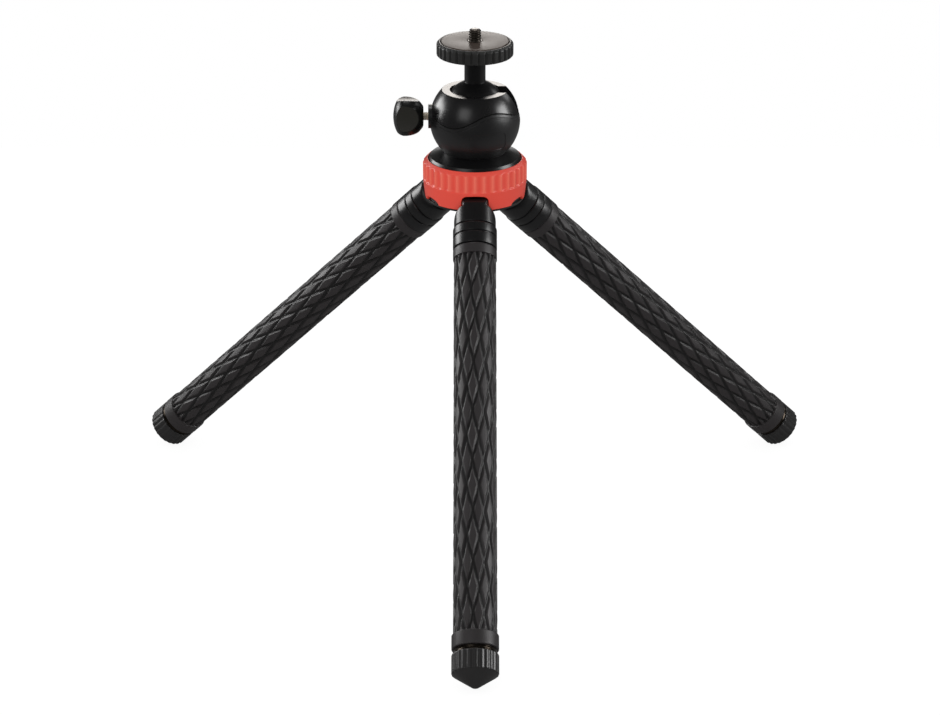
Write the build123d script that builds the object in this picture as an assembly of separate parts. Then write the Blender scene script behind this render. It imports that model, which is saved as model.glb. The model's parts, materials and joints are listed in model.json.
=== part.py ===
"""Travel tripod: a ball head on a three-slot hub with a red ring, and three bendable rubber-covered legs.

All sizes are in millimetres and angles in degrees. The pieces are built with heights measured up from
the hub's lower edge, on the hub's axis. When a piece is written it is lowered until the camera pad's
top face is at height zero, so the origin is the middle of the seat that a camera rests on. +Z points
up along the camera screw, -Y towards the front leg, and +X towards the head's drop notch.
"""

from build123d import *

import os
from math import acos, asin, atan2, cos, hypot, pi, radians, sin, sqrt

# Red ring around the hub
ring_cover = 12.5
ring_taper = 1.1
ring_wall = 2.5
ring_height = 19.7
ring_bevel_height = 2.2
ring_lip = 0.4
ring_flute_count = 36
ring_flute_radius = 2.4
ring_flute_depth = 0.4
ring_flute_base = 9.9
notch_side_clearance = 0.3
notch_height = 8.6
notch_crown = 0.5
notch_corner_radius = 1.8

# Hub core, its lower cap, the cap's screws and the leg pins
core_height = 17.5
cap_thickness = 1.1
cap_inset = 1.7
cap_screw_inset = 10.0
cap_screw_radius = 1.25
cap_screw_head_radius = 2.4
cap_screw_length = 9.0
leg_pin_radius = 2.0
leg_pin_end_clearance = 0.6
folded_leg_inset = 2.8
leg_pin_height = 4.24
leg_count = 3

# Clearances
fit_clearance = 0.05
running_clearance = 0.06
ball_clearance = 0.25
stop_clearance = 0.15
slot_clearance = 0.3

# Pan joint between hub and head
pan_screw_radius = 2.5
pan_screw_depth = 11.0
pan_head_radius = 5.0
pan_head_height = 3.2
pan_washer_thickness = 0.5
pan_washer_radius = 14.0

# Head base: the black skirt under the ball housing
skirt_inset = 0.3
skirt_edge_height = 1.1
skirt_cone_height = 1.9
skirt_cone_inset = 0.8
skirt_rise = 2.6
skirt_sag = 0.7
spigot_wall = 0.24
pan_floor_height = 1.2

# Ball housing
housing_radius = 22.5
housing_wall = 7.5
housing_foot_angle = 44.6
housing_top_angle = 46.8
housing_mouth_angle = 55.05
cover_thickness = 2.2
cover_crown_thickness = 5.4
retainer_wall = 1.6
retainer_height = 3.8
parting_height = 4.9
parting_wave = 3.6
parting_half_wave = 21.5
parting_offset = 1.2
panel_width = 17.0
panel_height = 9.2
panel_x = 6.5
panel_drop = 5.9
panel_depth = 0.15
panel_corner_radius = 2.0
groove_drop = 1.6
groove_width = 0.35
groove_depth = 0.15

# Ball, neck and ball seat
ball_rise = 5.6
neck_radius = 5.25
neck_length = 13.2
drop_notch_side_clearance = 0.2
lean_limit = 22.0
seat_rim_angle = 49.0
seat_mouth_angle = 23.4
seat_thickness = 1.6

# Clamp: screw, knob, bush and brake pad, on the side away from the drop notch
clamp_drop = 4.1
clamp_boss_radius = 6.0
clamp_boss_proud = 0.7
clamp_bush_radius = 3.6
clamp_screw_radius = 2.0
clamp_screw_pitch = 0.8
clamp_turn = 270.0
brake_radius = 3.4
brake_length = 2.6
knob_gap = 2.4
knob_length = 15.0
knob_radius = 10.4
knob_neck_radius = 6.4
knob_facet_apothem = 7.9
knob_facet_radius = 26.0
knob_facet_count = 4
knob_belly_start = 7.5
knob_belly_end = 12.0
knob_crown_radius = 7.4
knob_crown_drop = 0.6
knob_tip_radius = 2.0
knob_swell = 1.9
knob_screw_depth = 9.0

# Camera platform and camera screw (1/4 inch, 20 threads an inch, ISO 1222)
wheel_radius = 19.0
wheel_height = 7.0
wheel_rim = 2.2
wheel_bevel = 0.9
wheel_flute_count = 32
wheel_flute_radius = 1.8
wheel_flute_depth = 0.35
pad_thickness = 1.6
pad_proud = 0.3
platform_washer_thickness = 0.4
camera_screw_radius = 3.175
camera_screw_length = 6.0
camera_screw_chamfer = 0.5
screw_collar_radius = 3.7
screw_flange_radius = 6.5
screw_flange_thickness = 1.5
bolt_radius = 1.75
bolt_head_radius = 4.0
bolt_head_height = 3.0
bolt_recess_depth = 4.6
bolt_thread_length = 5.0

# Legs, measured along each leg from its pin
spread_angle = 46.15
leg_radius = 10.7
sleeve_inset = 0.2
band_proud = 0.05
end_band_proud = 0.5
tongue_thickness = 12.8
tongue_end_inset = 2.7
tongue_shoulder = 9.0
tongue_length = 11.6
shoulder_fillet = 2.4
knuckle_length = 19.0
collar_wall = 2.2
collar_length = 11.5
collar_gap = 0.15
collar_groove_offset = 5.1
collar_groove_width = 0.7
collar_groove_depth = 0.45
smooth_band_length = 5.5
end_band_length = 7.0
sleeve_end = 238.3
ferrule_length = 2.3
ferrule_inset = 1.0
foot_knurl_length = 9.5
foot_cone_length = 6.8
foot_tip_radius = 2.6
foot_flute_count = 24
foot_flute_radius = 1.1
foot_flute_depth = 0.3
core_radius = 3.0
core_start = 16.0
core_foot_depth = 6.0
sleeve_core_clearance = 0.3

# Bending of the legs
bend_count = 6
first_bend = 48.0
bend_spacing = 32.0
bend_limit = 25.0
bend_gap = 0.3

# Radii worked out from the sizes above
leg_pin_circle_radius = leg_radius + folded_leg_inset
ring_radius = leg_pin_circle_radius + ring_cover
ring_bottom_radius = ring_radius - ring_taper
ring_bore_radius = ring_radius - ring_wall
cap_radius = ring_radius - cap_inset
cap_screw_circle_radius = ring_radius - cap_screw_inset
leg_pin_reach = sqrt(ring_bore_radius**2 - (leg_pin_circle_radius + leg_pin_radius) ** 2)
skirt_radius = ring_bore_radius - skirt_inset
skirt_shoulder_radius = skirt_radius - skirt_cone_inset
housing_foot_radius = housing_radius * sin(radians(housing_foot_angle))
ball_radius = housing_radius - housing_wall
ball_bore_radius = ball_radius + ball_clearance
seat_outer_radius = ball_bore_radius + seat_thickness
seat_rim_drop = ball_bore_radius * cos(radians(seat_rim_angle))
seat_mouth_drop = ball_bore_radius * cos(radians(seat_mouth_angle))
spigot_radius = sqrt(seat_outer_radius**2 - seat_rim_drop**2) + spigot_wall
retainer_radius = ball_radius + retainer_wall
housing_mouth_radius = ball_bore_radius * sin(radians(housing_mouth_angle))
clamp_boss_reach = housing_radius + clamp_boss_proud
knob_start = clamp_boss_reach + knob_gap
pad_radius = wheel_radius - wheel_rim
sleeve_radius = leg_radius - sleeve_inset
band_radius = leg_radius + band_proud
end_band_radius = leg_radius + end_band_proud
foot_radius = end_band_radius
ferrule_radius = foot_radius - ferrule_inset
tongue_end_radius = leg_radius - tongue_end_inset
spigot_core_radius = leg_radius - collar_wall

# Heights worked out from the sizes above
pan_plane = core_height + pan_washer_thickness
skirt_top = pan_plane + skirt_edge_height + skirt_cone_height + skirt_rise
housing_centre = skirt_top + housing_radius * cos(radians(housing_foot_angle))
housing_top = housing_centre + housing_radius * cos(radians(housing_top_angle))
ball_centre = housing_centre + ball_rise
neck_base = ball_centre + sqrt(ball_radius**2 - neck_radius**2)
neck_top = neck_base + neck_length
wheel_bottom = neck_top + platform_washer_thickness
wheel_top = wheel_bottom + wheel_height
pad_top = wheel_top + pad_proud
clamp_height = ball_centre - clamp_drop
cover_seat = housing_top - cover_crown_thickness
slot_width = tongue_thickness + 2 * notch_side_clearance
collar_start = knuckle_length + collar_gap
sleeve_start = collar_start + collar_length
foot_start = sleeve_end + ferrule_length
foot_length = foot_knurl_length + foot_cone_length
bend_stations = [first_bend + bend_spacing * k for k in range(bend_count)]


def turned(points, *arcs):
    """A solid of revolution about Z from a closed outline of (radius, height) points.

    arcs holds (start index, middle point) pairs: that edge is an arc through the middle point.
    """
    through = dict(arcs)
    edges = []
    for index, start in enumerate(points):
        end = points[(index + 1) % len(points)]
        first, last = (start[0], 0, start[1]), (end[0], 0, end[1])
        if index in through:
            middle = through[index]
            edges.append(ThreePointArc(first, (middle[0], 0, middle[1]), last))
        else:
            edges.append(Line(first, last))
    return revolve(make_face(Curve() + edges), Axis.Z)


def rod(radius, bottom, top):
    """A cylinder on the Z axis between two heights."""
    return Pos(0, 0, (bottom + top) / 2) * Cylinder(radius, top - bottom)


def ball(radius, height):
    """A sphere on the Z axis."""
    return Pos(0, 0, height) * Sphere(radius)


def slab(below, above, reach=100.0):
    """Everything between two heights, wide enough to trim any piece here."""
    return Pos(0, 0, (below + above) / 2) * Box(reach, reach, above - below)


def side_rod(radius, start, end, height=0.0):
    """A cylinder along -X between two distances from the hub's axis, at one height."""
    middle = -(start + end) / 2
    return Pos(middle, 0, height) * Rot(0, 90, 0) * Cylinder(radius, end - start)


def scallops(count, radius, depth, outer, bottom, top):
    """Upright cutters that scoop shallow flutes into a round of the given outer radius."""
    cutter = rod(radius, bottom, top)
    return Part() + [loc * cutter for loc in PolarLocations(outer + radius - depth, count)]


def leg_azimuth(leg):
    """Angle of a leg about Z, in degrees from the front leg."""
    return 360.0 / leg_count * leg


def in_hub(leg, piece):
    """Turns a piece built for the front leg round to another leg's place."""
    return Rot(0, 0, leg_azimuth(leg)) * piece


def front_leg_plane():
    """The front leg's own frame: origin on the pin, Z down along the leg, X square to it and outward."""
    out, down = sin(radians(spread_angle)), cos(radians(spread_angle))
    origin = (0, -leg_pin_circle_radius, leg_pin_height)
    return Plane(origin=origin, x_dir=(0, -down, out), z_dir=(0, -out, -down))


def on_leg(leg, piece):
    """Puts a piece built along +Z from the pin onto a leg."""
    return in_hub(leg, front_leg_plane().location * piece)


def tongue_tangent():
    """Angle, from the leg's axis, of the point where the tongue's straight side meets its round end."""
    side = atan2(leg_radius, tongue_shoulder)
    return side + acos(tongue_end_radius / hypot(leg_radius, tongue_shoulder))


def tongue_outline(grow=0.0):
    """Points of the tongue's side view, as (outward, along), from its outer to its inner side."""
    angle = tongue_tangent()
    normal = (sin(angle), cos(angle))
    tangent = [(tongue_end_radius + grow) * part for part in normal]
    corner = (leg_radius + grow * normal[0], tongue_shoulder + grow * normal[1])
    return tangent, corner


def tongue_side_view(far):
    """Face of the tongue in the leg's X-Z plane: round about the pin, widening to the full leg."""
    (tangent_x, tangent_z), (corner_x, corner_z) = tongue_outline()
    outline = Polyline(
        (tangent_x, 0, tangent_z),
        (corner_x, 0, corner_z),
        (corner_x, 0, far),
        (-corner_x, 0, far),
        (-corner_x, 0, corner_z),
        (-tangent_x, 0, tangent_z),
        close=True,
    )
    round_end = Plane.XZ * Circle(tongue_end_radius)
    return make_face(outline) + round_end


def leg_slot():
    """Space swept by the front leg's tongue from spread to folded, one slot wide, in the hub's frame.

    Its inner wall is as round as the leg, so the metal between the slots stays joined at the centre.
    """
    out, down = sin(radians(spread_angle)), cos(radians(spread_angle))

    def spread_point(outward, along):
        radius = leg_pin_circle_radius + along * out + outward * down
        return radius, leg_pin_height - along * down + outward * out

    roof_start, roof_end = [spread_point(*p) for p in tongue_outline(stop_clearance)]
    slope = (roof_end[1] - roof_start[1]) / (roof_end[0] - roof_start[0])
    reach = ring_radius + leg_radius
    floor = -cap_thickness - leg_radius
    (side_x, side_z), (corner_x, corner_z) = tongue_outline(slot_clearance)
    inner_top = (leg_pin_circle_radius - side_x, leg_pin_height - side_z)
    inner_low = (leg_pin_circle_radius - corner_x, leg_pin_height - corner_z)
    outline = Polyline(
        (0, -roof_start[0], roof_start[1]),
        (0, -reach, roof_start[1] + slope * (reach - roof_start[0])),
        (0, -reach, floor),
        (0, -inner_low[0], floor),
        (0, -inner_low[0], inner_low[1]),
        (0, -inner_top[0], inner_top[1]),
        (0, -leg_pin_circle_radius, leg_pin_height),
        close=True,
    )
    swept = extrude(make_face(outline), slot_width / 2, dir=(1, 0, 0), both=True)
    folded = Pos(0, -leg_pin_circle_radius, 0) * Cylinder(leg_radius + slot_clearance, 4 * reach)
    outside = Pos(0, -leg_pin_circle_radius - reach, 0) * Box(2 * reach, 2 * reach, 4 * reach)
    pocket = Pos(0, -leg_pin_circle_radius, leg_pin_height) * Rot(0, 90, 0)
    return (swept & (folded + outside)) + pocket * Cylinder(tongue_end_radius + stop_clearance, slot_width)


def ring_notch():
    """Cutter for the ring's front notch: upright sides, rounded corners and a slightly arched top."""
    half, side_top = slot_width / 2, notch_height - notch_crown
    reach = ring_radius + leg_radius
    outline = Curve() + [
        Line((-half, 0, -notch_height), (-half, 0, side_top)),
        ThreePointArc((-half, 0, side_top), (0, 0, notch_height), (half, 0, side_top)),
        Line((half, 0, side_top), (half, 0, -notch_height)),
        Line((half, 0, -notch_height), (-half, 0, -notch_height)),
    ]
    notch = extrude(make_face(outline), reach, dir=(0, -1, 0))
    corners = notch.edges().filter_by(Axis.Y).sort_by(Axis.Z)[-2:]
    return fillet(corners, notch_corner_radius)


def hub_ring():
    """Red ring: bevelled top, shallow flutes above a smooth band that tapers in, three leg notches."""
    lip = ring_bore_radius + ring_lip
    body = turned(
        [
            (ring_bore_radius, 0),
            (ring_bottom_radius, 0),
            (ring_radius, ring_flute_base),
            (ring_radius, ring_height - ring_bevel_height),
            (lip, ring_height),
            (ring_bore_radius, ring_height),
        ]
    )
    top = ring_height + ring_bevel_height
    body -= scallops(
        ring_flute_count, ring_flute_radius, ring_flute_depth, ring_radius, ring_flute_base, top
    )
    for leg in range(leg_count):
        body -= in_hub(leg, ring_notch())
    return body


def pin_rod(radius, length):
    """A rod across the front leg's slot, on the leg's pin axis."""
    place = Pos(0, -leg_pin_circle_radius, leg_pin_height) * Rot(0, 90, 0)
    return place * Cylinder(radius, length)


def cap_screws(radius, head_radius, bottom, length):
    """Countersunk screws between the legs, pointing up from the cap's lower face."""
    cone = head_radius - radius
    screw = turned(
        [
            (0, bottom),
            (head_radius, bottom),
            (radius, bottom + cone),
            (radius, bottom + length),
            (0, bottom + length),
        ]
    )
    return [loc * screw for loc in PolarLocations(cap_screw_circle_radius, leg_count, start_angle=90)]


def hub_core():
    """Hub casting inside the ring: three slots for the legs, pin holes, screw holes and the pan thread."""
    body = rod(ring_bore_radius - fit_clearance, 0, core_height)
    for leg in range(leg_count):
        body -= in_hub(leg, leg_slot())
        body -= in_hub(leg, pin_rod(leg_pin_radius + fit_clearance, 2 * ring_radius))
    thread_floor = core_height - pan_screw_depth - fit_clearance
    body -= rod(pan_screw_radius + fit_clearance, thread_floor, core_height)
    clear = cap_screw_radius + fit_clearance
    body -= Part() + cap_screws(clear, clear + fit_clearance, -fit_clearance, cap_screw_length)
    return body


def hub_cap():
    """Thin plate under the hub that holds the ring up, notched for the legs."""
    body = rod(cap_radius, -cap_thickness, -fit_clearance)
    for leg in range(leg_count):
        body -= in_hub(leg, leg_slot())
    head = cap_screw_head_radius + fit_clearance
    body -= Part() + cap_screws(cap_screw_radius + fit_clearance, head, -cap_thickness, cap_screw_length)
    return body


def hub_screws():
    """The three screws that hold the cap on."""
    length = cap_screw_length - cap_thickness
    return cap_screws(cap_screw_radius, cap_screw_head_radius, -cap_thickness, length)


def hinge_pins():
    """The three steel pins that the legs fold on, enclosed by the ring."""
    length = 2 * (leg_pin_reach - leg_pin_end_clearance)
    return [in_hub(leg, pin_rod(leg_pin_radius, length)) for leg in range(leg_count)]


def pan_head_seat():
    """Height of the face in the head base that the pan screw's head presses on."""
    return pan_plane + skirt_edge_height + pan_floor_height


def pan_screw():
    """Shouldered screw that holds the head to the hub and that the head turns on."""
    seat = pan_head_seat() + running_clearance
    return rod(pan_screw_radius, core_height - pan_screw_depth, seat + pan_head_height) + rod(
        pan_head_radius, seat, seat + pan_head_height
    )


def pan_washer():
    """Slip washer between the hub and the head base."""
    low, high = core_height + fit_clearance, pan_plane - fit_clearance
    return rod(pan_washer_radius, low, high) - rod(pan_screw_radius + running_clearance, low - 1, high + 1)


def head_base():
    """Skirt under the housing, with the threaded spigot that enters the housing and cups the ball seat."""
    edge = pan_plane + skirt_edge_height
    cone = edge + skirt_cone_height
    middle = ((skirt_shoulder_radius + housing_foot_radius) / 2, (cone + skirt_top) / 2 - skirt_sag)
    skirt = turned(
        [
            (0, pan_plane),
            (skirt_radius, pan_plane),
            (skirt_radius, edge),
            (skirt_shoulder_radius, cone),
            (housing_foot_radius, skirt_top),
            (0, skirt_top),
        ],
        (3, middle),
    )
    spigot = rod(spigot_radius, skirt_top, ball_centre - seat_rim_drop)
    spigot -= ball(seat_outer_radius + ball_clearance, ball_centre)
    body = skirt + spigot
    body -= rod(pan_screw_radius + running_clearance, pan_plane - 1, ball_centre)
    return body - rod(pan_head_radius + running_clearance, pan_head_seat(), ball_centre)


def drop_notch(half_width):
    """Slot through the +X side of the housing for the neck, round at the ball's centre height."""
    floor = Pos(housing_radius, 0, ball_centre) * Rot(0, 90, 0) * Cylinder(half_width, 2 * housing_radius)
    tall = 2 * housing_radius
    walls = Pos(housing_radius, 0, ball_centre + tall / 2) * Box(tall, 2 * half_width, tall)
    return floor + walls


def notch_half_width():
    """Half the drop notch's width: the neck with its clearance."""
    return neck_radius + drop_notch_side_clearance


def parting_cutter(drop=0.0):
    """Everything above the housing's wavy parting line, carried straight through from front to back."""
    steps = 24
    span = 2 * housing_radius + 2
    stations = [span * (step / steps - 0.5) for step in range(steps + 1)]
    base = housing_centre + parting_height - drop
    wave = [
        (x, 0, base + parting_wave * sin(pi * (x + parting_offset) / parting_half_wave)) for x in stations
    ]
    line = Spline(*wave)
    high = housing_top + housing_radius
    frame = Polyline(wave[-1], (wave[-1][0], 0, high), (wave[0][0], 0, high), wave[0])
    return extrude(make_face(Curve() + [line, frame]), housing_radius + 1, dir=(0, 1, 0), both=True)


def housing_envelope():
    """Outside of the housing: a ball cut flat above and below."""
    return ball(housing_radius, housing_centre) & slab(skirt_top, housing_top)


def clamp_boss(grow=0.0):
    """Round boss that the clamp screw enters."""
    return side_rod(clamp_boss_radius + grow, ball_bore_radius, clamp_boss_reach + grow, clamp_height)


def cover_zone():
    """The part of the housing that the glossy cover takes: above the parting line, and its crown."""
    inner = ball(housing_radius - cover_thickness, housing_centre) & slab(skirt_top, cover_seat)
    return (housing_envelope() & parting_cutter()) - inner - clamp_boss(fit_clearance)


def retainer_low():
    """Height of the face that the ball retainer sits on."""
    return cover_seat - retainer_height


def front_panel():
    """Cutter for the shallow bare panel on the front of the lower housing."""
    outline = Plane.XZ * RectangleRounded(panel_width, panel_height, panel_corner_radius)
    place = Pos(panel_x, 0, housing_centre - panel_drop)
    window = extrude(place * outline, housing_radius, dir=(0, -1, 0))
    return window - ball(housing_radius - panel_depth, housing_centre)


def wave_groove(drop):
    """Cutter for a fine line on the lower housing that follows the parting line some way below it."""
    band = parting_cutter(drop + groove_width) - parting_cutter(drop)
    return band - ball(housing_radius - groove_depth, housing_centre)


def housing_body():
    """Satin lower housing: ball chamber, retainer pocket, clamp boss and the drop notch."""
    body = housing_envelope() - cover_zone()
    body -= front_panel()
    body -= wave_groove(0) + wave_groove(groove_drop)
    body += clamp_boss() - ball(housing_radius - cover_thickness, housing_centre)
    body -= ball(ball_bore_radius, ball_centre)
    body -= rod(ball_bore_radius, ball_centre, housing_top)
    body -= rod(retainer_radius + fit_clearance, retainer_low(), housing_top)
    body -= rod(spigot_radius + fit_clearance, skirt_top, ball_centre - seat_rim_drop)
    body -= ball(seat_outer_radius + ball_clearance, ball_centre) & slab(skirt_top, seat_rim_clear())
    body -= drop_notch(notch_half_width())
    return body - side_rod(clamp_bush_radius + fit_clearance, 0, 2 * clamp_boss_reach, clamp_height)


def seat_rim_clear():
    """Top of the pocket for the ball seat, clear of its rim as it tilts forward or back."""
    lowest_rim = asin(seat_rim_drop / seat_outer_radius) - radians(lean_limit)
    return ball_centre - seat_outer_radius * sin(lowest_rim) + ball_clearance


def housing_cover():
    """Glossy upper cover with the round mouth, cut by the drop notch."""
    body = cover_zone() - ball(ball_bore_radius, ball_centre)
    body -= rod(housing_mouth_radius, ball_centre, housing_top)
    return body - drop_notch(notch_half_width())


def ball_retainer():
    """Threaded ring under the cover that keeps the ball in, open at the drop notch."""
    low, high = retainer_low(), cover_seat - fit_clearance
    body = rod(retainer_radius, low, high) - ball(ball_bore_radius, ball_centre)
    return body - drop_notch(notch_half_width())


def ball_seat():
    """Nylon cup under the ball, carried in the head base's hollow and tilting with the ball."""
    shell = ball(seat_outer_radius, ball_centre) - ball(ball_bore_radius, ball_centre)
    return shell & slab(ball_centre - seat_mouth_drop, ball_centre - seat_rim_drop)


def ball_stem():
    """Ball and neck in one piece, bored through for the platform bolt."""
    body = ball(ball_radius, ball_centre) + rod(neck_radius, ball_centre, neck_top)
    body -= rod(bolt_radius + running_clearance, ball_centre - ball_radius, neck_top)
    bottom = ball_centre - ball_radius
    return body - rod(bolt_head_radius + ball_clearance, bottom - 1, bottom + bolt_recess_depth)


def bolt_top():
    """Height of the platform bolt's end, inside the camera screw."""
    return wheel_bottom + bolt_thread_length


def platform_bolt():
    """Bolt from the ball's underside that keeps the platform on the neck and turns with it."""
    seat = ball_centre - ball_radius + bolt_recess_depth - running_clearance
    return rod(bolt_head_radius, seat - bolt_head_height, seat) + rod(bolt_radius, seat, bolt_top())


def platform_washer():
    """Thin slip washer between neck and wheel."""
    low, high = neck_top + fit_clearance, wheel_bottom - fit_clearance
    return rod(neck_radius, low, high) - rod(bolt_radius + running_clearance, low - 1, high + 1)


def pad_seat():
    """Height of the floor that the camera pad is glued to."""
    return pad_top - pad_thickness


def platform_wheel():
    """Knurled wheel that carries the pad and turns the camera screw."""
    body = turned(
        [
            (0, wheel_bottom),
            (wheel_radius - wheel_bevel / 2, wheel_bottom),
            (wheel_radius, wheel_bottom + wheel_bevel / 2),
            (wheel_radius, wheel_top - wheel_bevel),
            (wheel_radius - wheel_bevel, wheel_top),
            (0, wheel_top),
        ]
    )
    body -= scallops(
        wheel_flute_count, wheel_flute_radius, wheel_flute_depth, wheel_radius, wheel_bottom, wheel_top
    )
    body -= rod(pad_radius + fit_clearance, pad_seat(), wheel_top)
    flange_floor = pad_seat() - screw_flange_thickness
    body -= rod(screw_flange_radius + fit_clearance, flange_floor, wheel_top)
    return body - rod(screw_collar_radius + fit_clearance, wheel_bottom, wheel_top)


def platform_pad():
    """Thin pad that the camera rests on."""
    body = rod(pad_radius, pad_seat(), pad_top)
    return body - rod(screw_collar_radius + fit_clearance, pad_seat(), pad_top)


def camera_screw():
    """Camera screw at its thread's major diameter, with its flange, collar and the bolt's thread."""
    flange_floor = pad_seat() - screw_flange_thickness
    stud_top = pad_top + camera_screw_length
    body = turned(
        [
            (0, wheel_bottom + fit_clearance),
            (screw_collar_radius, wheel_bottom + fit_clearance),
            (screw_collar_radius, flange_floor + fit_clearance),
            (screw_flange_radius, flange_floor + fit_clearance),
            (screw_flange_radius, pad_seat() - fit_clearance),
            (screw_collar_radius, pad_seat() - fit_clearance),
            (screw_collar_radius, pad_top),
            (camera_screw_radius, pad_top),
            (camera_screw_radius, stud_top - camera_screw_chamfer),
            (camera_screw_radius - camera_screw_chamfer, stud_top),
            (0, stud_top),
        ]
    )
    return body - rod(bolt_radius + fit_clearance, wheel_bottom, bolt_top() + fit_clearance)


def brake_back():
    """Distance from the axis of the brake pad's back face."""
    return ball_bore_radius + brake_length


def bush_start():
    """Distance of the bush's inner end, leaving the brake pad room to back off as the screw turns."""
    return brake_back() + clamp_screw_pitch * clamp_turn / 360 + stop_clearance


def clamp_bush():
    """Brass threaded insert in the boss."""
    body = side_rod(clamp_bush_radius, bush_start(), clamp_boss_reach, clamp_height)
    hole = side_rod(clamp_screw_radius + running_clearance, 0, 2 * clamp_boss_reach, clamp_height)
    return body - hole


def brake_pad():
    """Short plunger with a hollow face that presses on the ball."""
    body = side_rod(brake_radius, ball_radius / 2, brake_back(), clamp_height)
    return body - ball(ball_radius + ball_clearance, ball_centre)


def clamp_screw():
    """Steel clamp screw, moulded into the knob at its outer end."""
    start = brake_back() + fit_clearance
    return side_rod(clamp_screw_radius, start, knob_start + knob_screw_depth, clamp_height)


def clamp_knob():
    """Black knob: domed outer end, four hollow facets and a tapered root."""
    crown = knob_length - knob_crown_drop
    bulge = knob_swell / 4
    root_middle = ((knob_neck_radius + knob_radius) / 2 + bulge, knob_belly_start / 2 - 2 * bulge)
    edge_middle = ((knob_radius + knob_crown_radius) / 2 + bulge, (knob_belly_end + crown) / 2 + bulge)
    crown_middle = ((knob_crown_radius + knob_tip_radius) / 2, knob_length - knob_crown_drop / 3)
    shape = turned(
        [
            (0, 0),
            (knob_neck_radius, 0),
            (knob_radius, knob_belly_start),
            (knob_radius, knob_belly_end),
            (knob_crown_radius, crown),
            (knob_tip_radius, knob_length),
            (0, knob_length),
        ],
        (1, root_middle),
        (3, edge_middle),
        (4, crown_middle),
    )
    facet = Cylinder(knob_facet_radius, 4 * knob_length)
    for loc in PolarLocations(knob_facet_apothem + knob_facet_radius, knob_facet_count):
        shape -= loc * facet
    knob = Pos(-knob_start, 0, clamp_height) * Rot(0, -90, 0) * shape
    hole = side_rod(clamp_screw_radius + fit_clearance, 0, knob_start + knob_screw_depth, clamp_height)
    return knob - hole


def leg_knuckle():
    """Upper leg casting: tongue with two flats, round shoulder and the spigot that holds the core."""
    tongue = extrude(tongue_side_view(knuckle_length), tongue_thickness / 2, dir=(0, 1, 0), both=True)
    tongue &= rod(leg_radius, -tongue_end_radius, knuckle_length)
    shoulder = rod(leg_radius, tongue_length, knuckle_length)
    shoulder = fillet(shoulder.edges().sort_by(Axis.Z)[0], shoulder_fillet)
    body = tongue + shoulder + rod(spigot_core_radius, knuckle_length, sleeve_start - collar_gap)
    body -= rod(core_radius + fit_clearance, core_start, sleeve_start)
    eye = Rot(90, 0, 0) * Cylinder(leg_pin_radius + running_clearance, 2 * tongue_thickness)
    return body - eye


def leg_collar():
    """Glossy collar round the spigot, with one turned groove."""
    body = rod(band_radius, collar_start, sleeve_start - collar_gap)
    body -= rod(spigot_core_radius + fit_clearance, collar_start, sleeve_start)
    middle = collar_start + collar_groove_offset
    low, high = middle - collar_groove_width / 2, middle + collar_groove_width / 2
    return body - (rod(2 * band_radius, low, high) - rod(band_radius - collar_groove_depth, low, high))


def leg_core():
    """Soft aluminium rod through the whole leg, which bends and stays as bent."""
    return rod(core_radius, core_start, foot_start + core_foot_depth)


def bend_dome(station):
    """Round end of the rubber above a bend, centred on the bend."""
    return ball(sleeve_radius, station)


def segment_edge(station):
    """Where the rubber below a bend starts: far enough down to clear the round end when bent."""
    return station + sleeve_radius * sin(radians(bend_limit))


def leg_sleeve(index):
    """One stretch of the rubber sleeve: hollow at its upper end, round at its lower end."""
    first, last = index == 0, index == bend_count
    top = sleeve_start if first else segment_edge(bend_stations[index - 1])
    bottom = sleeve_end if last else bend_stations[index]
    body = rod(sleeve_radius, top, bottom)
    if first:
        body += rod(band_radius, sleeve_start, sleeve_start + smooth_band_length)
    else:
        body -= ball(sleeve_radius + bend_gap, bend_stations[index - 1])
    if last:
        body += rod(end_band_radius, sleeve_end - end_band_length, sleeve_end)
    else:
        body += bend_dome(bend_stations[index])
    bore = core_radius + sleeve_core_clearance
    return body - rod(bore, top - sleeve_radius, bottom + 2 * sleeve_radius)


def leg_ferrule():
    """Metal ring between sleeve and foot."""
    low, high = sleeve_end + fit_clearance, foot_start - fit_clearance
    return rod(ferrule_radius, low, high) - rod(core_radius + fit_clearance, low, high)


def leg_foot():
    """Knurled foot with a blunt cone at its end."""
    knurl_end = foot_start + foot_knurl_length
    tip = foot_start + foot_length
    slope = atan2(foot_cone_length, foot_radius)
    near = (foot_tip_radius * sin(slope), tip - foot_tip_radius * (1 - cos(slope)))
    body = turned(
        [
            (0, foot_start),
            (foot_radius, foot_start),
            (foot_radius, knurl_end),
            near,
            (0, tip),
        ],
        (3, (foot_tip_radius * sin(slope / 2), tip - foot_tip_radius * (1 - cos(slope / 2)))),
    )
    body -= scallops(
        foot_flute_count, foot_flute_radius, foot_flute_depth, foot_radius, foot_start, knurl_end
    )
    return body - rod(core_radius + fit_clearance, foot_start, foot_start + core_foot_depth + fit_clearance)


def write(name, pieces):
    """Lowers a piece, or a group of pieces, to the camera seat's frame and writes it as parts/name.step."""
    group = pieces if isinstance(pieces, list) else [pieces]
    solids = [Pos(0, 0, -pad_top) * solid for piece in group for solid in piece.solids()]
    shape = solids[0] if len(solids) == 1 else Compound(children=solids)
    export_step(shape, os.path.join("parts", name + ".step"))


os.makedirs("parts", exist_ok=True)

write("hub_ring", hub_ring())
write("hub_core", hub_core())
write("hub_cap", hub_cap())
write("hub_screws", hub_screws())
write("hinge_pins", hinge_pins())
write("pan_screw", pan_screw())

write("pan_washer", pan_washer())
write("head_base", head_base())
write("housing_body", housing_body())
write("housing_cover", housing_cover())
write("ball_retainer", ball_retainer())
write("clamp_bush", clamp_bush())
write("ball_seat", ball_seat())
write("ball_stem", ball_stem())

write("platform_wheel", platform_wheel())
write("platform_pad", platform_pad())
write("platform_washer", platform_washer())
write("platform_bolt", platform_bolt())
write("camera_screw", camera_screw())

write("brake_pad", brake_pad())
write("clamp_screw", clamp_screw())
write("clamp_knob", clamp_knob())

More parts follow.
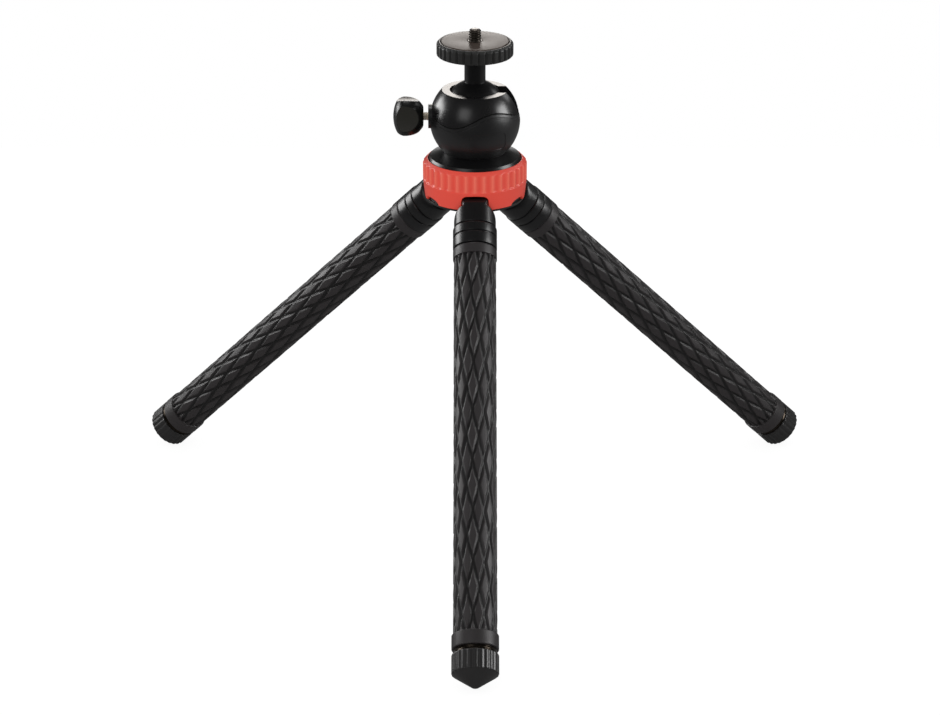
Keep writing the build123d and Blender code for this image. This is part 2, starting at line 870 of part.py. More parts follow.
for leg in range(leg_count):
    label = f"leg_{leg + 1}_"
    write(label + "knuckle", on_leg(leg, leg_knuckle()))
    write(label + "collar", on_leg(leg, leg_collar()))
    write(label + "core", on_leg(leg, leg_core()))
    for segment in range(bend_count + 1):
        write(f"{label}sleeve_{segment}", on_leg(leg, leg_sleeve(segment)))
    write(label + "ferrule", on_leg(leg, leg_ferrule()))
    write(label + "foot", on_leg(leg, leg_foot()))
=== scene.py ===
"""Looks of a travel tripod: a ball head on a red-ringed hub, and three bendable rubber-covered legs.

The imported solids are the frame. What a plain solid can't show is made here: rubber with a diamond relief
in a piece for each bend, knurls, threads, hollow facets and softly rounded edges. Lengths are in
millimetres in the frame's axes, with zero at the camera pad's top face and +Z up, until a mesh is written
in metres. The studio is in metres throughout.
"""

import json
import logging
from dataclasses import dataclass
from enum import Enum

import bpy
import numpy as np
from mathutils import Matrix, Vector

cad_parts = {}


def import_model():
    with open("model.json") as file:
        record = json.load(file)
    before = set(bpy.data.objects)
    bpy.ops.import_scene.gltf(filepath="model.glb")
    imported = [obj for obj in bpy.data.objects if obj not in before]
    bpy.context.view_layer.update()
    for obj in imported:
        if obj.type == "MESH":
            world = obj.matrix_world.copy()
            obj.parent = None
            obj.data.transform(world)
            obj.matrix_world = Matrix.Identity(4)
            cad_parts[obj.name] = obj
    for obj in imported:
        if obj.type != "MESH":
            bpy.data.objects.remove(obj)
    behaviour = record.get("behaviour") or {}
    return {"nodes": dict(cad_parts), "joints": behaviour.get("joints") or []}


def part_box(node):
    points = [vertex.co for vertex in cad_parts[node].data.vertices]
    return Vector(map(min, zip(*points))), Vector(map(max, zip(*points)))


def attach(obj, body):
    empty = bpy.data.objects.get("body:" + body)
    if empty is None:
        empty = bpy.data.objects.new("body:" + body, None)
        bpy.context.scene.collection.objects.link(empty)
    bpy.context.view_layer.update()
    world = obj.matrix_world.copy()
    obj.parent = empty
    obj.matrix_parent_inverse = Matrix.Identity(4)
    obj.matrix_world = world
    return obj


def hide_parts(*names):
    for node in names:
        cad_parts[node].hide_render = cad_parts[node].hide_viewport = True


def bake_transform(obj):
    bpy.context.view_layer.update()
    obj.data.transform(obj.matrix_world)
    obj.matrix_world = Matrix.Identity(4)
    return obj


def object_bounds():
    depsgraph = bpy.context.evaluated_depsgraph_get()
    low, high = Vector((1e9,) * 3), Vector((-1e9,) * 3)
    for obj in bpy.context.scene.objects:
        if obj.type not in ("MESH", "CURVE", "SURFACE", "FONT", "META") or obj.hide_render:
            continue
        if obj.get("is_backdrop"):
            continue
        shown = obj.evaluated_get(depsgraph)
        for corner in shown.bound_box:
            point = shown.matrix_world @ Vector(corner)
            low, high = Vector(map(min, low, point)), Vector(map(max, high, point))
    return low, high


LOG = logging.getLogger("tripod")
MM = 0.001
TURN = 2 * np.pi
GROOVE = "groove"
# Size of the faint dull patches on every surface, and how finely a rounded edge is sampled
PATCH = 9.0
EDGE_SAMPLES = 6

Array = np.ndarray
Tree = bpy.types.NodeTree
Socket = bpy.types.NodeSocket
Piece = bpy.types.Object


def linear(hex_colour: str) -> tuple[float, ...]:
    """Turns an sRGB colour into the linear colour that a shader takes.

    Args:
        hex_colour: The colour as "#RRGGBB".

    Returns:
        Linear red, green and blue, and an alpha of 1.
    """
    channels = np.array([int(hex_colour[i : i + 2], 16) for i in (1, 3, 5)]) / 255
    values = np.where(channels <= 0.04045, channels / 12.92, ((channels + 0.055) / 1.055) ** 2.4)
    return (*values.tolist(), 1.0)


def add_node(tree: Tree, kind: str, inputs: dict | None = None, **settings) -> bpy.types.Node:
    """Adds a shader node, sets its properties and fills or links its inputs.

    Args:
        tree: The node tree to add to.
        kind: The node's type name, without the "ShaderNode" that they all begin with.
        inputs: Values or sockets for its inputs, by the input's name or number.
        settings: Properties of the node.

    Returns:
        The new node.
    """
    node = tree.nodes.new(f"ShaderNode{kind}")
    for name, value in settings.items():
        setattr(node, name, value)
    for name, value in (inputs or {}).items():
        if isinstance(value, bpy.types.NodeSocket):
            tree.links.new(value, node.inputs[name])
        else:
            node.inputs[name].default_value = value
    return node


def bare_tree(owner: bpy.types.Material | bpy.types.World) -> Tree:
    """Switches nodes on and empties their tree.

    Args:
        owner: A new material or world.

    Returns:
        Its empty tree.
    """
    owner.use_nodes = True
    owner.node_tree.nodes.clear()
    return owner.node_tree


def noise(tree: Tree, place: Socket, size: float, detail: float) -> Socket:
    """Noise whose features are about the given size in millimetres."""
    inputs = {"Vector": place, "Scale": 1 / (size * MM), "Detail": detail}
    return add_node(tree, "TexNoise", inputs).outputs["Fac"]


class Marks(Enum):
    """What the making of a surface leaves on it."""

    GRAIN = "fine even grain, as from a mould or a blasted casting"
    TURNED = "fine rings round the vertical axis, as from a lathe"
    RELIEF = "grain, with a second colour where the groove attribute is 1"


TURNED, RELIEF = Marks.TURNED, Marks.RELIEF


@dataclass(frozen=True)
class Finish:
    """A surface finish, as a maker would specify it.

    Real grain and lathe rings are under 0.1 mm. They are drawn a few times coarser, so that they show.

    Attributes:
        second: The colour of its patches, or of the places where its groove attribute is 1.
        roughness: Lowest roughness of the surface.
        spread: How much rougher its dull patches are.
        metallic: 1 for bare metal, less for a dulled plating, 0 for anything else.
        ior: Index of refraction where metallic is 0.
        grain: Size of the grain or the ring spacing.
        depth: Height of the grain.
        edge: Radius that sharp edges are shown rounded with, as by tumbling or moulding.
    """

    name: str
    colour: str
    second: str
    roughness: float
    spread: float = 0.08
    metallic: float = 0.0
    ior: float = 1.5
    marks: Marks = Marks.GRAIN
    grain: float = 0.35
    depth: float = 0.01
    edge: float = 0.25

    def material(self) -> bpy.types.Material:
        """Builds the shader, once.

        Returns:
            The finish's material.
        """
        found = bpy.data.materials.get(self.name)
        if found:
            return found
        material = bpy.data.materials.new(self.name)
        tree = bare_tree(material)
        place = add_node(tree, "TexCoord").outputs["Object"]
        mix = patches = noise(tree, place, PATCH, 3)
        if self.marks is Marks.RELIEF:
            mix = add_node(tree, "Attribute", attribute_name=GROOVE).outputs["Fac"]
        colours = {0: mix, 6: linear(self.colour), 7: linear(self.second)}
        colour = add_node(tree, "Mix", colours, data_type="RGBA")
        span = {"Value": patches, "To Min": self.roughness, "To Max": self.roughness + self.spread}
        rough = add_node(tree, "MapRange", span)
        grain = {"Strength": 1.0, "Distance": self.depth * MM, "Height": self._height(tree, place)}
        bump = add_node(tree, "Bump", grain)
        if self.edge:
            edge = add_node(tree, "Bevel", {"Radius": self.edge * MM}, samples=EDGE_SAMPLES)
            tree.links.new(edge.outputs[0], bump.inputs["Normal"])
        look = {"Base Color": colour.outputs[2], "Roughness": rough.outputs[0], "Normal": bump.outputs[0]}
        look |= {"Metallic": self.metallic} if self.metallic else {"IOR": self.ior}
        surface = add_node(tree, "BsdfPrincipled", look)
        add_node(tree, "OutputMaterial", {"Surface": surface.outputs[0]})
        return material

    def _height(self, tree: Tree, place: Socket) -> Socket:
        """Height of the surface's marks. Rings read the distance from the axis and the height alone.

        Args:
            tree: The material's tree.
            place: The point in the object's axes.

        Returns:
            The socket with the height.
        """
        if self.marks is not Marks.TURNED:
            return noise(tree, place, self.grain, 4)
        parts = add_node(tree, "SeparateXYZ", {0: place})
        flat = add_node(tree, "CombineXYZ", {0: parts.outputs[0], 1: parts.outputs[1]})
        radius = add_node(tree, "VectorMath", {0: flat.outputs[0]}, operation="LENGTH")
        ring = add_node(tree, "CombineXYZ", {0: radius.outputs[1], 1: parts.outputs[2]})
        return noise(tree, ring.outputs[0], self.grain, 2)


# Red paint over the aluminium ring: coral red with a soft sheen, with a painted highlight that makes it
# paler over the ribs
RED_PAINT = Finish(
    "red painted aluminium", "#E46753", "#DA4333", 0.36, ior=1.45, marks=RELIEF, grain=0.9, depth=0.006
)
# Black anodised aluminium, polished: the clear oxide over black dye mirrors lamps, and is black between
BLACK_POLISHED = Finish("polished black anodising", "#0B0B0C", "#100F10", 0.25, 0.06, ior=1.62, depth=0.003)
# The same on the legs' castings, tumbled before the dye: lamps show as soft bands
BLACK_TUMBLED = Finish("tumbled black anodising", "#08080A", "#0C0C0D", 0.3, 0.06, ior=1.55, depth=0.004)
# Black anodised aluminium, blasted: the same oxide with soft, broad reflections and a very fine grain
BLACK_BLASTED = Finish("blasted black anodising", "#0E0E0F", "#131314", 0.34, ior=1.62, depth=0.008)
# The wheel's turned black anodising: worn greyer, with the lathe's rings on its faces
BLACK_TURNED = Finish(
    "turned black anodising", "#1D1D1C", "#222221", 0.38, ior=1.55, marks=TURNED, grain=0.25
)
# Moulded black nylon of the cap: a plastic's weak, broad shine
BLACK_NYLON = Finish("moulded black nylon", "#1C1B1A", "#22211F", 0.32, grain=0.5, depth=0.008)
# The knob's nylon: greyer in its hollow facets, and blacker on the round between them
KNOB_NYLON = Finish(
    "moulded nylon knob", "#24231F", "#0D0D0C", 0.3, 0.06, ior=1.42, marks=RELIEF, grain=0.5, depth=0.002
)
# Natural rubber with carbon black: dull dark grey on the raised diamonds, and near black in the grooves as
# painted shade
BLACK_RUBBER = Finish(
    "black rubber sleeve", "#262223", "#0D0C0C", 0.4, 0.12, marks=RELIEF, depth=0.012, edge=0
)
# Harder rubber of the feet and the camera pad, with a mould's dull sheen
FOOT_RUBBER = Finish("hard black rubber", "#1A1919", "#1E1D1D", 0.3, ior=1.55, grain=0.3, depth=0.012)
PAD_RUBBER = Finish("camera pad rubber", "#3A2F28", "#42362E", 0.4, ior=1.42, grain=0.25, depth=0.006)
# Turned steel: bright and slightly warm, with lathe rings
STEEL = Finish("turned steel", "#B9B2A6", "#A59E93", 0.24, 0.1, 1.0, marks=TURNED, grain=0.2)
# Bright zinc-plated steel of the clamp's shank, dulled a little by handling
SHANK_STEEL = Finish(
    "zinc-plated steel", "#F0E8DA", "#E0D8CA", 0.42, 0.1, 0.75, grain=0.3, depth=0.006, edge=0
)
# The gap between the housing's halves, drawn as a black bead in it: a painted shadow of the gap
GAP_SHADOW = Finish("painted shadow of the parting gap", "#030303", "#050505", 0.6, 0.1, ior=1.3, edge=0)
# The ball, its neck and the skirt: blasted finer than the housing, so lamps show as broad dim patches
BLACK_SATIN = Finish("satin black anodising", "#0A0A0B", "#0E0E0F", 0.26, 0.06, depth=0.004)
# Blackened steel of the camera screw: a dark mirror that lights up along its crests
SCREW_STEEL = Finish(
    "camera screw steel", "#453F39", "#3B3631", 0.26, 0.1, 0.8, grain=0.3, depth=0.006, edge=0.1
)
# Polished brass under a bronze-toned lacquer, between sleeve and foot: a dark mirror with a warm tint
BRONZE = Finish("lacquered bronze", "#3E3831", "#38322C", 0.22, metallic=1.0, grain=0.3, depth=0.003)
# Brass of the inner inserts, nylon of the washers and the soft aluminium core, all out of sight
BRASS = Finish("turned brass", "#C9AC6B", "#BA9D5F", 0.25, 0.1, 1.0, marks=TURNED, grain=0.25)
NATURAL_NYLON = Finish("natural nylon", "#DAD6CA", "#D2CDC0", 0.4, 0.1, ior=1.53, grain=0.5)
SOFT_ALUMINIUM = Finish("drawn soft aluminium", "#C2C4C6", "#B4B6B8", 0.32, 0.1, 1.0, grain=0.4)


@dataclass(frozen=True)
class Axes:
    """A place to build a piece: an origin and three unit directions, z being the piece's own axis."""

    origin: Array
    x: Array
    y: Array
    z: Array

    def place(self, points: Array) -> Array:
        """Points of the piece, as (..., 3) in its own axes, put into the frame."""
        return self.origin + points @ np.stack([self.x, self.y, self.z])


UPRIGHT = Axes(np.zeros(3), *np.eye(3))


@dataclass
class Skin:
    """A surface on a grid of points: rows run along the piece and columns go round it.

    Attributes:
        points: (rows, columns, 3) in millimetres; the last column joins the first.
        loop: The last row joins the first, as on a ring. Otherwise each end is closed with a middle point.
        slant: Squares are cut into triangles along the falling diagonal, where a pattern runs.
    """

    points: Array
    loop: bool = False
    slant: bool = False

    def write(self, name: str, sharp: float = 32.0) -> Piece:
        """Makes the mesh object.

        The square between rows i, i+1 and columns j, j+1 takes the corners (i, j), (i, j+1), (i+1, j+1)
        and (i+1, j), so faces look outwards when rows go up the outside and columns go round
        anticlockwise about the piece's axis.

        Args:
            name: The object's name.
            sharp: Edges that turn by more than these degrees stay sharp.

        Returns:
            The new object.
        """
        rows, columns = self.points.shape[:2]
        vertices = self.points.reshape(-1, 3)
        low = np.arange(rows if self.loop else rows - 1)[:, None] * columns
        high = (low + columns) % (rows * columns)
        here = np.arange(columns)[None, :]
        there = (here + 1) % columns
        squares = np.stack([low + here, low + there, high + there, high + here], -1).reshape(-1, 4)
        triangles = np.zeros((0, 3), int)
        if self.slant:
            triangles = np.concatenate([squares[:, [0, 1, 3]], squares[:, [1, 2, 3]]])
            squares = np.zeros((0, 4), int)
        if not self.loop:
            bottom, top = np.full(columns, len(vertices)), np.full(columns, len(vertices) + 1)
            vertices = np.concatenate([vertices, self.points[[0, -1]].mean(1)])
            ring, following, last = here[0], there[0], (rows - 1) * columns
            first_fan = np.stack([following, ring, bottom], -1)
            last_fan = np.stack([last + ring, last + following, top], -1)
            triangles = np.concatenate([triangles, first_fan, last_fan])
        mesh = bpy.data.meshes.new(name)
        faces = squares.tolist() + triangles.tolist()
        mesh.from_pydata((vertices * MM).tolist(), [], faces, shade_flat=False)
        mesh.set_sharp_from_angle(angle=np.radians(sharp))
        piece = bpy.data.objects.new(name, mesh)
        bpy.context.scene.collection.objects.link(piece)
        return piece


def rounded(corners: list[tuple], steps: int = 4, closed: bool = True) -> Array:
    """Rounds the corners of a profile.

    Each corner becomes an arc that touches both its sides: the arc's centre lies on the corner's
    bisector, radius / sin(half angle) away, and the arc is swept by mixing its two end directions.

    Args:
        corners: Radius, height and rounding of each corner.
        steps: Stretches in each arc.
        closed: The last point joins the first. An open profile keeps its two end points sharp.

    Returns:
        (m, 2) radius and height of the rounded profile's points.
    """
    corners, size = np.split(np.array(corners, float), [2], axis=1)
    before, after = np.roll(corners, 1, 0) - corners, np.roll(corners, -1, 0) - corners
    reach_before = np.linalg.norm(before, axis=1, keepdims=True)
    reach_after = np.linalg.norm(after, axis=1, keepdims=True)
    before, after = before / reach_before, after / reach_after
    half = np.arccos(np.clip((before * after).sum(1), -0.9999, 0.9999))[:, None] / 2
    cut = np.minimum(size / np.tan(half), 0.49 * np.minimum(reach_before, reach_after))
    size = cut * np.tan(half)
    bisector = before + after
    bisector /= np.linalg.norm(bisector, axis=1, keepdims=True)
    centre = corners + bisector * size / np.sin(half)
    start, end = corners + before * cut - centre, corners + after * cut - centre
    sweep = (np.pi - 2 * half)[:, None]
    share = np.linspace(0, 1, steps + 1)[None, :, None]
    arcs = np.sin((1 - share) * sweep) * start[:, None] + np.sin(share * sweep) * end[:, None]
    arcs = centre[:, None] + arcs / np.sin(sweep)
    if closed:
        return arcs.reshape(-1, 2)
    return np.concatenate([corners[:1], arcs[1:-1].reshape(-1, 2), corners[-1:]])


def divided(profile: Array, step: float) -> Array:
    """Adds evenly spaced points along a profile's long sides.

    Args:
        profile: (n, 2) radius and height of its points.
        step: The longest stretch allowed.

    Returns:
        (m, 2) radius and height of all points.
    """
    lengths = np.linalg.norm(np.diff(profile, axis=0), axis=1)
    counts = np.maximum(np.ceil(lengths / step).astype(int), 1)
    pieces = [np.linspace(a, b, n, endpoint=False) for a, b, n in zip(profile[:-1], profile[1:], counts)]
    return np.concatenate([*pieces, profile[-1:]])


def circle(columns: int) -> Array:
    """Angles of the columns round an axis."""
    return np.arange(columns) * TURN / columns


def from_nearest(angle: Array, count: int) -> Array:
    """Angles measured from the nearest of count directions, evenly spaced from zero."""
    return (angle + np.pi / count) % (TURN / count) - np.pi / count


def across_flute(count: int, columns: int) -> Array:
    """Where each column stands in its division of the circle, from -0.5 to 0.5, with count divisions."""
    return (np.arange(columns) * count / columns) % 1.0 - 0.5


def flutes(count: int, columns: int, width: float) -> Array:
    """Depth of flutes at each column, from 0 to 1: a raised cosine over width of each division."""
    return 0.5 + 0.5 * np.cos(np.clip(across_flute(count, columns) / width, -0.5, 0.5) * TURN)


def polar(radius: Array, angle: Array, height: Array) -> Array:
    """Points (r cos a, r sin a, h), as (..., 3)."""
    height = np.broadcast_to(height, radius.shape)
    return np.stack([radius * np.cos(angle), radius * np.sin(angle), height], -1)


def revolved(profile: Array, columns: int, axes: Axes, swell: Array | float = 0.0) -> Array:
    """Carries a profile round an axis.

    The point at row i and column j is (r cos a, r sin a, h) with a = 2 pi j / columns, where r and h are
    the profile's radius and height at i.

    Args:
        profile: (rows, 2) radius and height.
        columns: How many points go round.
        axes: Where the piece stands.
        swell: What is added to the radius.

    Returns:
        (rows, columns, 3) points in the frame.
    """
    radius = profile[:, :1] + swell + np.zeros(columns)
    return axes.place(polar(radius, circle(columns), profile[:, 1:]))


def threaded(radius: float, pitch: float, depth: float, low: float, high: float, axes: Axes) -> Array:
    """Surface of a screw thread between two heights, with a domed tip.

    The radius at angle a and height h falls from the crest by depth times a V of the phase
    h / pitch - a / 2 pi, which is steepened by a quarter and cut flat at the root. It runs in over the
    first pitch, and runs out over the last, which shrinks with a quarter of an ellipse to the tip.

    Args:
        radius: Radius of the crest.
        pitch: Rise in one turn.
        depth: Depth of the thread.
        low: Height of its start.
        high: Height of its tip.
        axes: Where the screw stands.

    Returns:
        (rows, columns, 3) points in the frame.
    """
    columns, rows_per_turn, steepness, shrink = 48, 12, 1.25, 0.66
    height = np.linspace(low, high, int((high - low) / pitch * rows_per_turn) + 1)[:, None]
    angle = circle(columns)
    phase = (height / pitch - angle / TURN) % 1.0
    valley = np.clip((1 - 2 * np.abs(phase - 0.5)) * steepness, 0, 1)
    tip = np.clip((height - high + pitch) / pitch, 0, 1)
    cut_in = np.clip((height - low) / pitch, 0, 1) * np.clip(1.4 - 2 * tip, 0, 1)
    around = (radius - depth * valley * cut_in) * np.sqrt(1 - tip**2 * shrink)
    return axes.place(polar(around, angle, height))


def mark_grooves(mesh: bpy.types.Mesh, share: Array) -> None:
    """Stores each point's share of a relief finish's second colour.

    Args:
        mesh: The mesh to mark.
        share: Shares from 0 to 1, in the order of the points. Points past its end get 0.
    """
    values = np.zeros(len(mesh.vertices), np.float32)
    values[: share.size] = share.ravel()
    mesh.attributes.new(GROOVE, "FLOAT", "POINT").data.foreach_set("value", values)


def dress(piece: Piece, finish: Finish) -> None:
    """Gives a new piece its material."""
    piece.data.materials.append(finish.material())


def settle(piece: Piece, finish: Finish, slot: str, body: str, *nodes: str) -> None:
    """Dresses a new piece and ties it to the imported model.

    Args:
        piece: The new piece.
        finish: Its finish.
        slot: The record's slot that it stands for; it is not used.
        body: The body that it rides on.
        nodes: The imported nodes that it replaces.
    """
    dress(piece, finish)
    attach(piece, body)
    if nodes:
        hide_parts(*nodes)


def vector(values: list[float]) -> Array:
    """A frame position in metres as millimetres."""
    return np.array(values, float) / MM


@dataclass
class Platform:
    """Camera platform: knurled wheel, rubber pad and the quarter inch camera screw."""

    wheel_radius: float = 19.0
    wheel_height: float = 7.0
    pad_proud: float = 0.3
    pad_radius: float = 16.8
    pad_thickness: float = 1.6
    pad_columns: int = 160
    seat_gap: float = 0.35
    bevel: float = 1.1
    bore: float = 3.75
    groove_count: int = 32
    groove_depth: float = 0.8
    groove_share: float = 0.55
    groove_inset: float = 0.3
    groove_columns: int = 16
    row_step: float = 0.6
    screw_radius: float = 3.175
    screw_pitch: float = 1.27
    thread_depth: float = 0.62
    thread_low: float = -0.2
    screw_top: float = 6.0
    collar_radius: float = 3.7
    collar_gap: float = 0.15
    collar_top: float = 0.05
    collar_columns: int = 96

    def build(self) -> None:
        """Makes the wheel, the pad and the screw."""
        self._wheel()
        self._pad()
        self._screw()
        LOG.info("platform: wheel, pad and camera screw")

    def _wheel(self) -> None:
        """Wheel: upright grooves between broad ribs, which run out in scallops on the rounded bevel.

        The grooves are cut groove_depth below the rim's radius, as a raised cosine of the angle over
        groove_share of each division, from groove_inset outside the pad's seat.
        """
        rim, bevel, floor = self.wheel_radius, self.bevel, -self.pad_thickness
        top = -self.pad_proud
        low = top - self.wheel_height
        seat = self.pad_radius + self.seat_gap
        corners = [
            (self.bore, low, 0.1), (rim - bevel / 2, low, 0.4), (rim, low + bevel / 2, 0.4),
            (rim, top - bevel, 0.7), (rim - bevel, top, 0.4), (seat, top, 0.12), (seat, floor, 0.1),
            (self.bore, floor, 0.1)
        ]
        profile = divided(rounded(corners), self.row_step)
        radius = profile[:, :1]
        columns = self.groove_count * self.groove_columns
        cut = rim - self.groove_depth * flutes(self.groove_count, columns, self.groove_share)
        swell = np.where(radius > seat + self.groove_inset, np.minimum(cut - radius, 0), 0)
        wheel = Skin(revolved(profile, columns, UPRIGHT, swell), loop=True).write("wheel")
        settle(wheel, BLACK_TURNED, "satin_black", "platform", "platform_wheel")

    def _pad(self) -> None:
        """Pad: a thin disc with softly rounded edges and a hole round the screw's collar."""
        hole, edge, floor = self.collar_radius + self.collar_gap, self.pad_radius, -self.pad_thickness
        corners = [(hole, floor, 0.1), (edge, floor, 0.1), (edge, 0.0, 0.25), (hole, 0.0, 0.15)]
        pad = Skin(revolved(rounded(corners), self.pad_columns, UPRIGHT), loop=True).write("pad")
        settle(pad, PAD_RUBBER, "camera_pad", "platform", "platform_pad")

    def _screw(self) -> None:
        """Screw: its thread with a domed tip, standing on a flat collar."""
        thread = (self.screw_radius, self.screw_pitch, self.thread_depth, self.thread_low, self.screw_top)
        screw = Skin(threaded(*thread, UPRIGHT)).write("camera_thread", sharp=50)
        low, top, edge = -self.wheel_height, self.collar_top, self.collar_radius
        profile = rounded([(0, low, 0), (edge, low, 0.15), (edge, top, 0.15), (0, top, 0)], closed=False)
        collar = Skin(revolved(profile, self.collar_columns, UPRIGHT)).write("camera_screw_collar")
        settle(screw, SCREW_STEEL, "steel", "platform", "camera_screw")
        settle(collar, SCREW_STEEL, "steel", "platform")


@dataclass
class Knob:
    """Clamp knob: a domed round body with four hollow facets, and the threaded steel shank.

    Starts are distances from the head's axis, and the other lengths along the knob run from its start.
    """

    height: float
    start: float = 25.6
    length: float = 15.0
    radius: float = 10.95
    widest: float = 9.5
    neck_radius: float = 5.0
    neck_power: float = 2.35
    neck_rim: tuple[float, float] = (0.5, 0.1)
    tip_power: float = 1.75
    rows: int = 70
    columns: int = 288
    facets: int = 4
    facet_turn: float = -7.75
    facet_near: float = 7.77
    facet_radius: float = 20.0
    facet_edge: float = 0.15
    facet_from: float = 4.662
    blend: float = 0.05
    shank_radius: float = 2.15
    shank_start: float = 18.4
    shank_end: float = 4.0
    shank_pitch: float = 0.8
    shank_depth: float = 0.35

    def build(self) -> None:
        """Makes the knob and its shank."""
        self._body()
        self._shank()
        LOG.info("clamp: knob and screw")

    def _axes(self) -> Axes:
        """The knob's axes, with z along it, away from the head."""
        sideways = np.array([[0, 0, 1], [0, 1, 0], [-1, 0, 0]])
        return Axes(np.array([-self.start, 0, self.height]), *sideways)

    def _body(self) -> None:
        """Body: at each angle the smaller of two radii, softly blended.

        The round one is R - (R - neck) s^m between the neck and the widest place, s being the distance
        from there as a share of the way, and R sqrt(1 - t^p) on to the tip, with t likewise. The other
        is the distance to the facets, which are cylinders of facet_radius F whose near side is
        facet_near N from the axis: at an angle a from a facet's middle it is
        D cos a - sqrt(F^2 - D^2 sin^2 a), with D = N + F. The blend is the smooth minimum
        (a + b - sqrt((a - b)^2 + 4 blend^2)) / 2, and starts where the round one passes facet_from. The
        first two rows round the neck's edge.
        """
        to_tip = self.length - self.widest
        behind = np.linspace(0, self.widest, self.rows)
        ahead = self.widest + to_tip * np.sin(np.linspace(0, np.pi / 2, self.rows))[1:]
        share = 1 - behind / self.widest
        neck_side = self.radius - (self.radius - self.neck_radius) * share**self.neck_power
        neck_side[:2] -= self.neck_rim
        dome = 1 - ((ahead - self.widest) / to_tip) ** self.tip_power
        tip_side = self.radius * np.sqrt(np.clip(dome, 0, 1))
        profile = np.stack([np.concatenate([neck_side, tip_side]), np.concatenate([behind, ahead])], -1)
        off = from_nearest(circle(self.columns) + np.radians(self.facet_turn), self.facets)
        far = self.facet_near + self.facet_radius
        facet = far * np.cos(off) - np.sqrt(self.facet_radius**2 - (far * np.sin(off)) ** 2)
        radius = profile[:, :1]
        smooth = (radius + facet - np.sqrt((radius - facet) ** 2 + 4 * self.blend**2)) / 2
        swell = np.where(radius > self.facet_from, smooth - radius, 0)
        knob = Skin(revolved(profile, self.columns, self._axes(), swell)).write("knob", sharp=25)
        between = np.append(np.clip(1 + swell / self.facet_edge, 0, 1).ravel(), [1, 1])
        mark_grooves(knob.data, between)
        settle(knob, KNOB_NYLON, "black_plastic", "clamp", "clamp_knob")

    def _shank(self) -> None:
        """Shank: a fine thread from inside the boss to inside the knob."""
        thread = (self.shank_radius, self.shank_pitch, self.shank_depth)
        points = threaded(*thread, self.shank_start - self.start, self.shank_end, self._axes())
        shank = Skin(points).write("clamp_shank", sharp=50)
        settle(shank, SHANK_STEEL, "steel", "clamp", "clamp_screw")


@dataclass
class Ring:
    """Red ring round the hub: bevelled and fluted, with a notch for each leg and a hollow between them."""

    base: float
    radius: float = 26.0
    foot_radius: float = 24.9
    bore_radius: float = 23.5
    lip_radius: float = 23.9
    height: float = 19.7
    bevel_height: float = 2.2
    flute_count: int = 36
    flute_base: float = 9.0
    flute_depth: float = 0.8
    flute_share: float = 0.96
    flute_fade: float = 0.9
    flute_inset: float = 0.2
    flute_columns: int = 30
    row_step: float = 0.4
    notch_half: float = 6.7
    notch_height: float = 7.1
    notch_corner: float = 2.6
    notch_crown: float = 0.7
    hollow_half: float = 5.8
    hollow_height: float = 2.7
    legs: int = 3

    def build(self) -> None:
        """Makes the ring.

        Its rows follow a rounded profile. A flute is a parabola across, cut flute_depth below the full
        radius, so it runs out in an arch on the bevel, and it fades out at its foot. The lower rows are
        lifted to the edge of the notches and hollows.
        """
        corners = [
            (self.bore_radius, 0.0, 0.1), (self.foot_radius, 0.0, 0.3), (self.radius, self.flute_base, 4.0),
            (self.radius, self.height - self.bevel_height, 0.9), (self.lip_radius, self.height, 0.25),
            (self.bore_radius, self.height, 0.1)
        ]
        profile = divided(rounded(corners, 6), self.row_step)
        radius = profile[:, :1]
        columns = self.flute_count * self.flute_columns
        off = np.abs(across_flute(self.flute_count, columns)) * 2 / self.flute_share
        flute = 1 - np.clip(off, 0, 1) ** 2
        fade = np.clip((profile[:, 1:] - self.flute_base) / self.flute_fade, 0, 1)
        fade = fade * fade * (3 - 2 * fade)
        outside = radius > self.lip_radius - self.flute_inset
        cut = self.radius - self.flute_depth * flute * fade
        swell = np.where(outside, np.minimum(cut - radius, 0), 0)
        points = revolved(profile, columns, UPRIGHT, swell)
        points[..., 2] = np.maximum(points[..., 2], self._edge(columns)) + self.base
        ring = Skin(points, loop=True).write("red_ring", sharp=40)
        # Painted highlight: where the ribs stand at the full radius they take the paler colour, for the
        # light on them
        full = np.clip((radius - self.radius + self.flute_depth) / self.flute_depth, 0, 1)
        rib_highlight = (1 - flute) * fade * np.where(outside, full, 0)
        mark_grooves(ring.data, 1 - rib_highlight)
        settle(ring, RED_PAINT, "red_anodised", "hub", "hub_ring")
        LOG.info("hub: fluted ring")

    def _edge(self, columns: int) -> Array:
        """Lower edge of the ring: a notch at each leg, and a hollow between them.

        A notch has straight sides, a quarter circle at each corner and a parabola's crown, and a hollow
        is half an ellipse.

        Args:
            columns: How many points go round.

        Returns:
            The edge's height at each column.
        """
        off = from_nearest(circle(columns) + TURN / 4, self.legs)
        across = np.abs(self.foot_radius * np.sin(off))
        corner = np.clip(across - self.notch_half + self.notch_corner, 0, self.notch_corner)
        notch = self.notch_height - self.notch_corner + np.sqrt(self.notch_corner**2 - corner**2)
        notch = notch + self.notch_crown * (1 - (across / self.notch_half) ** 2)
        beside = np.abs(self.foot_radius * np.sin(np.pi / self.legs - np.abs(off)))
        hollow = self.hollow_height * np.sqrt(np.clip(1 - (beside / self.hollow_half) ** 2, 0, 1))
        return np.where(across < self.notch_half, notch, hollow)


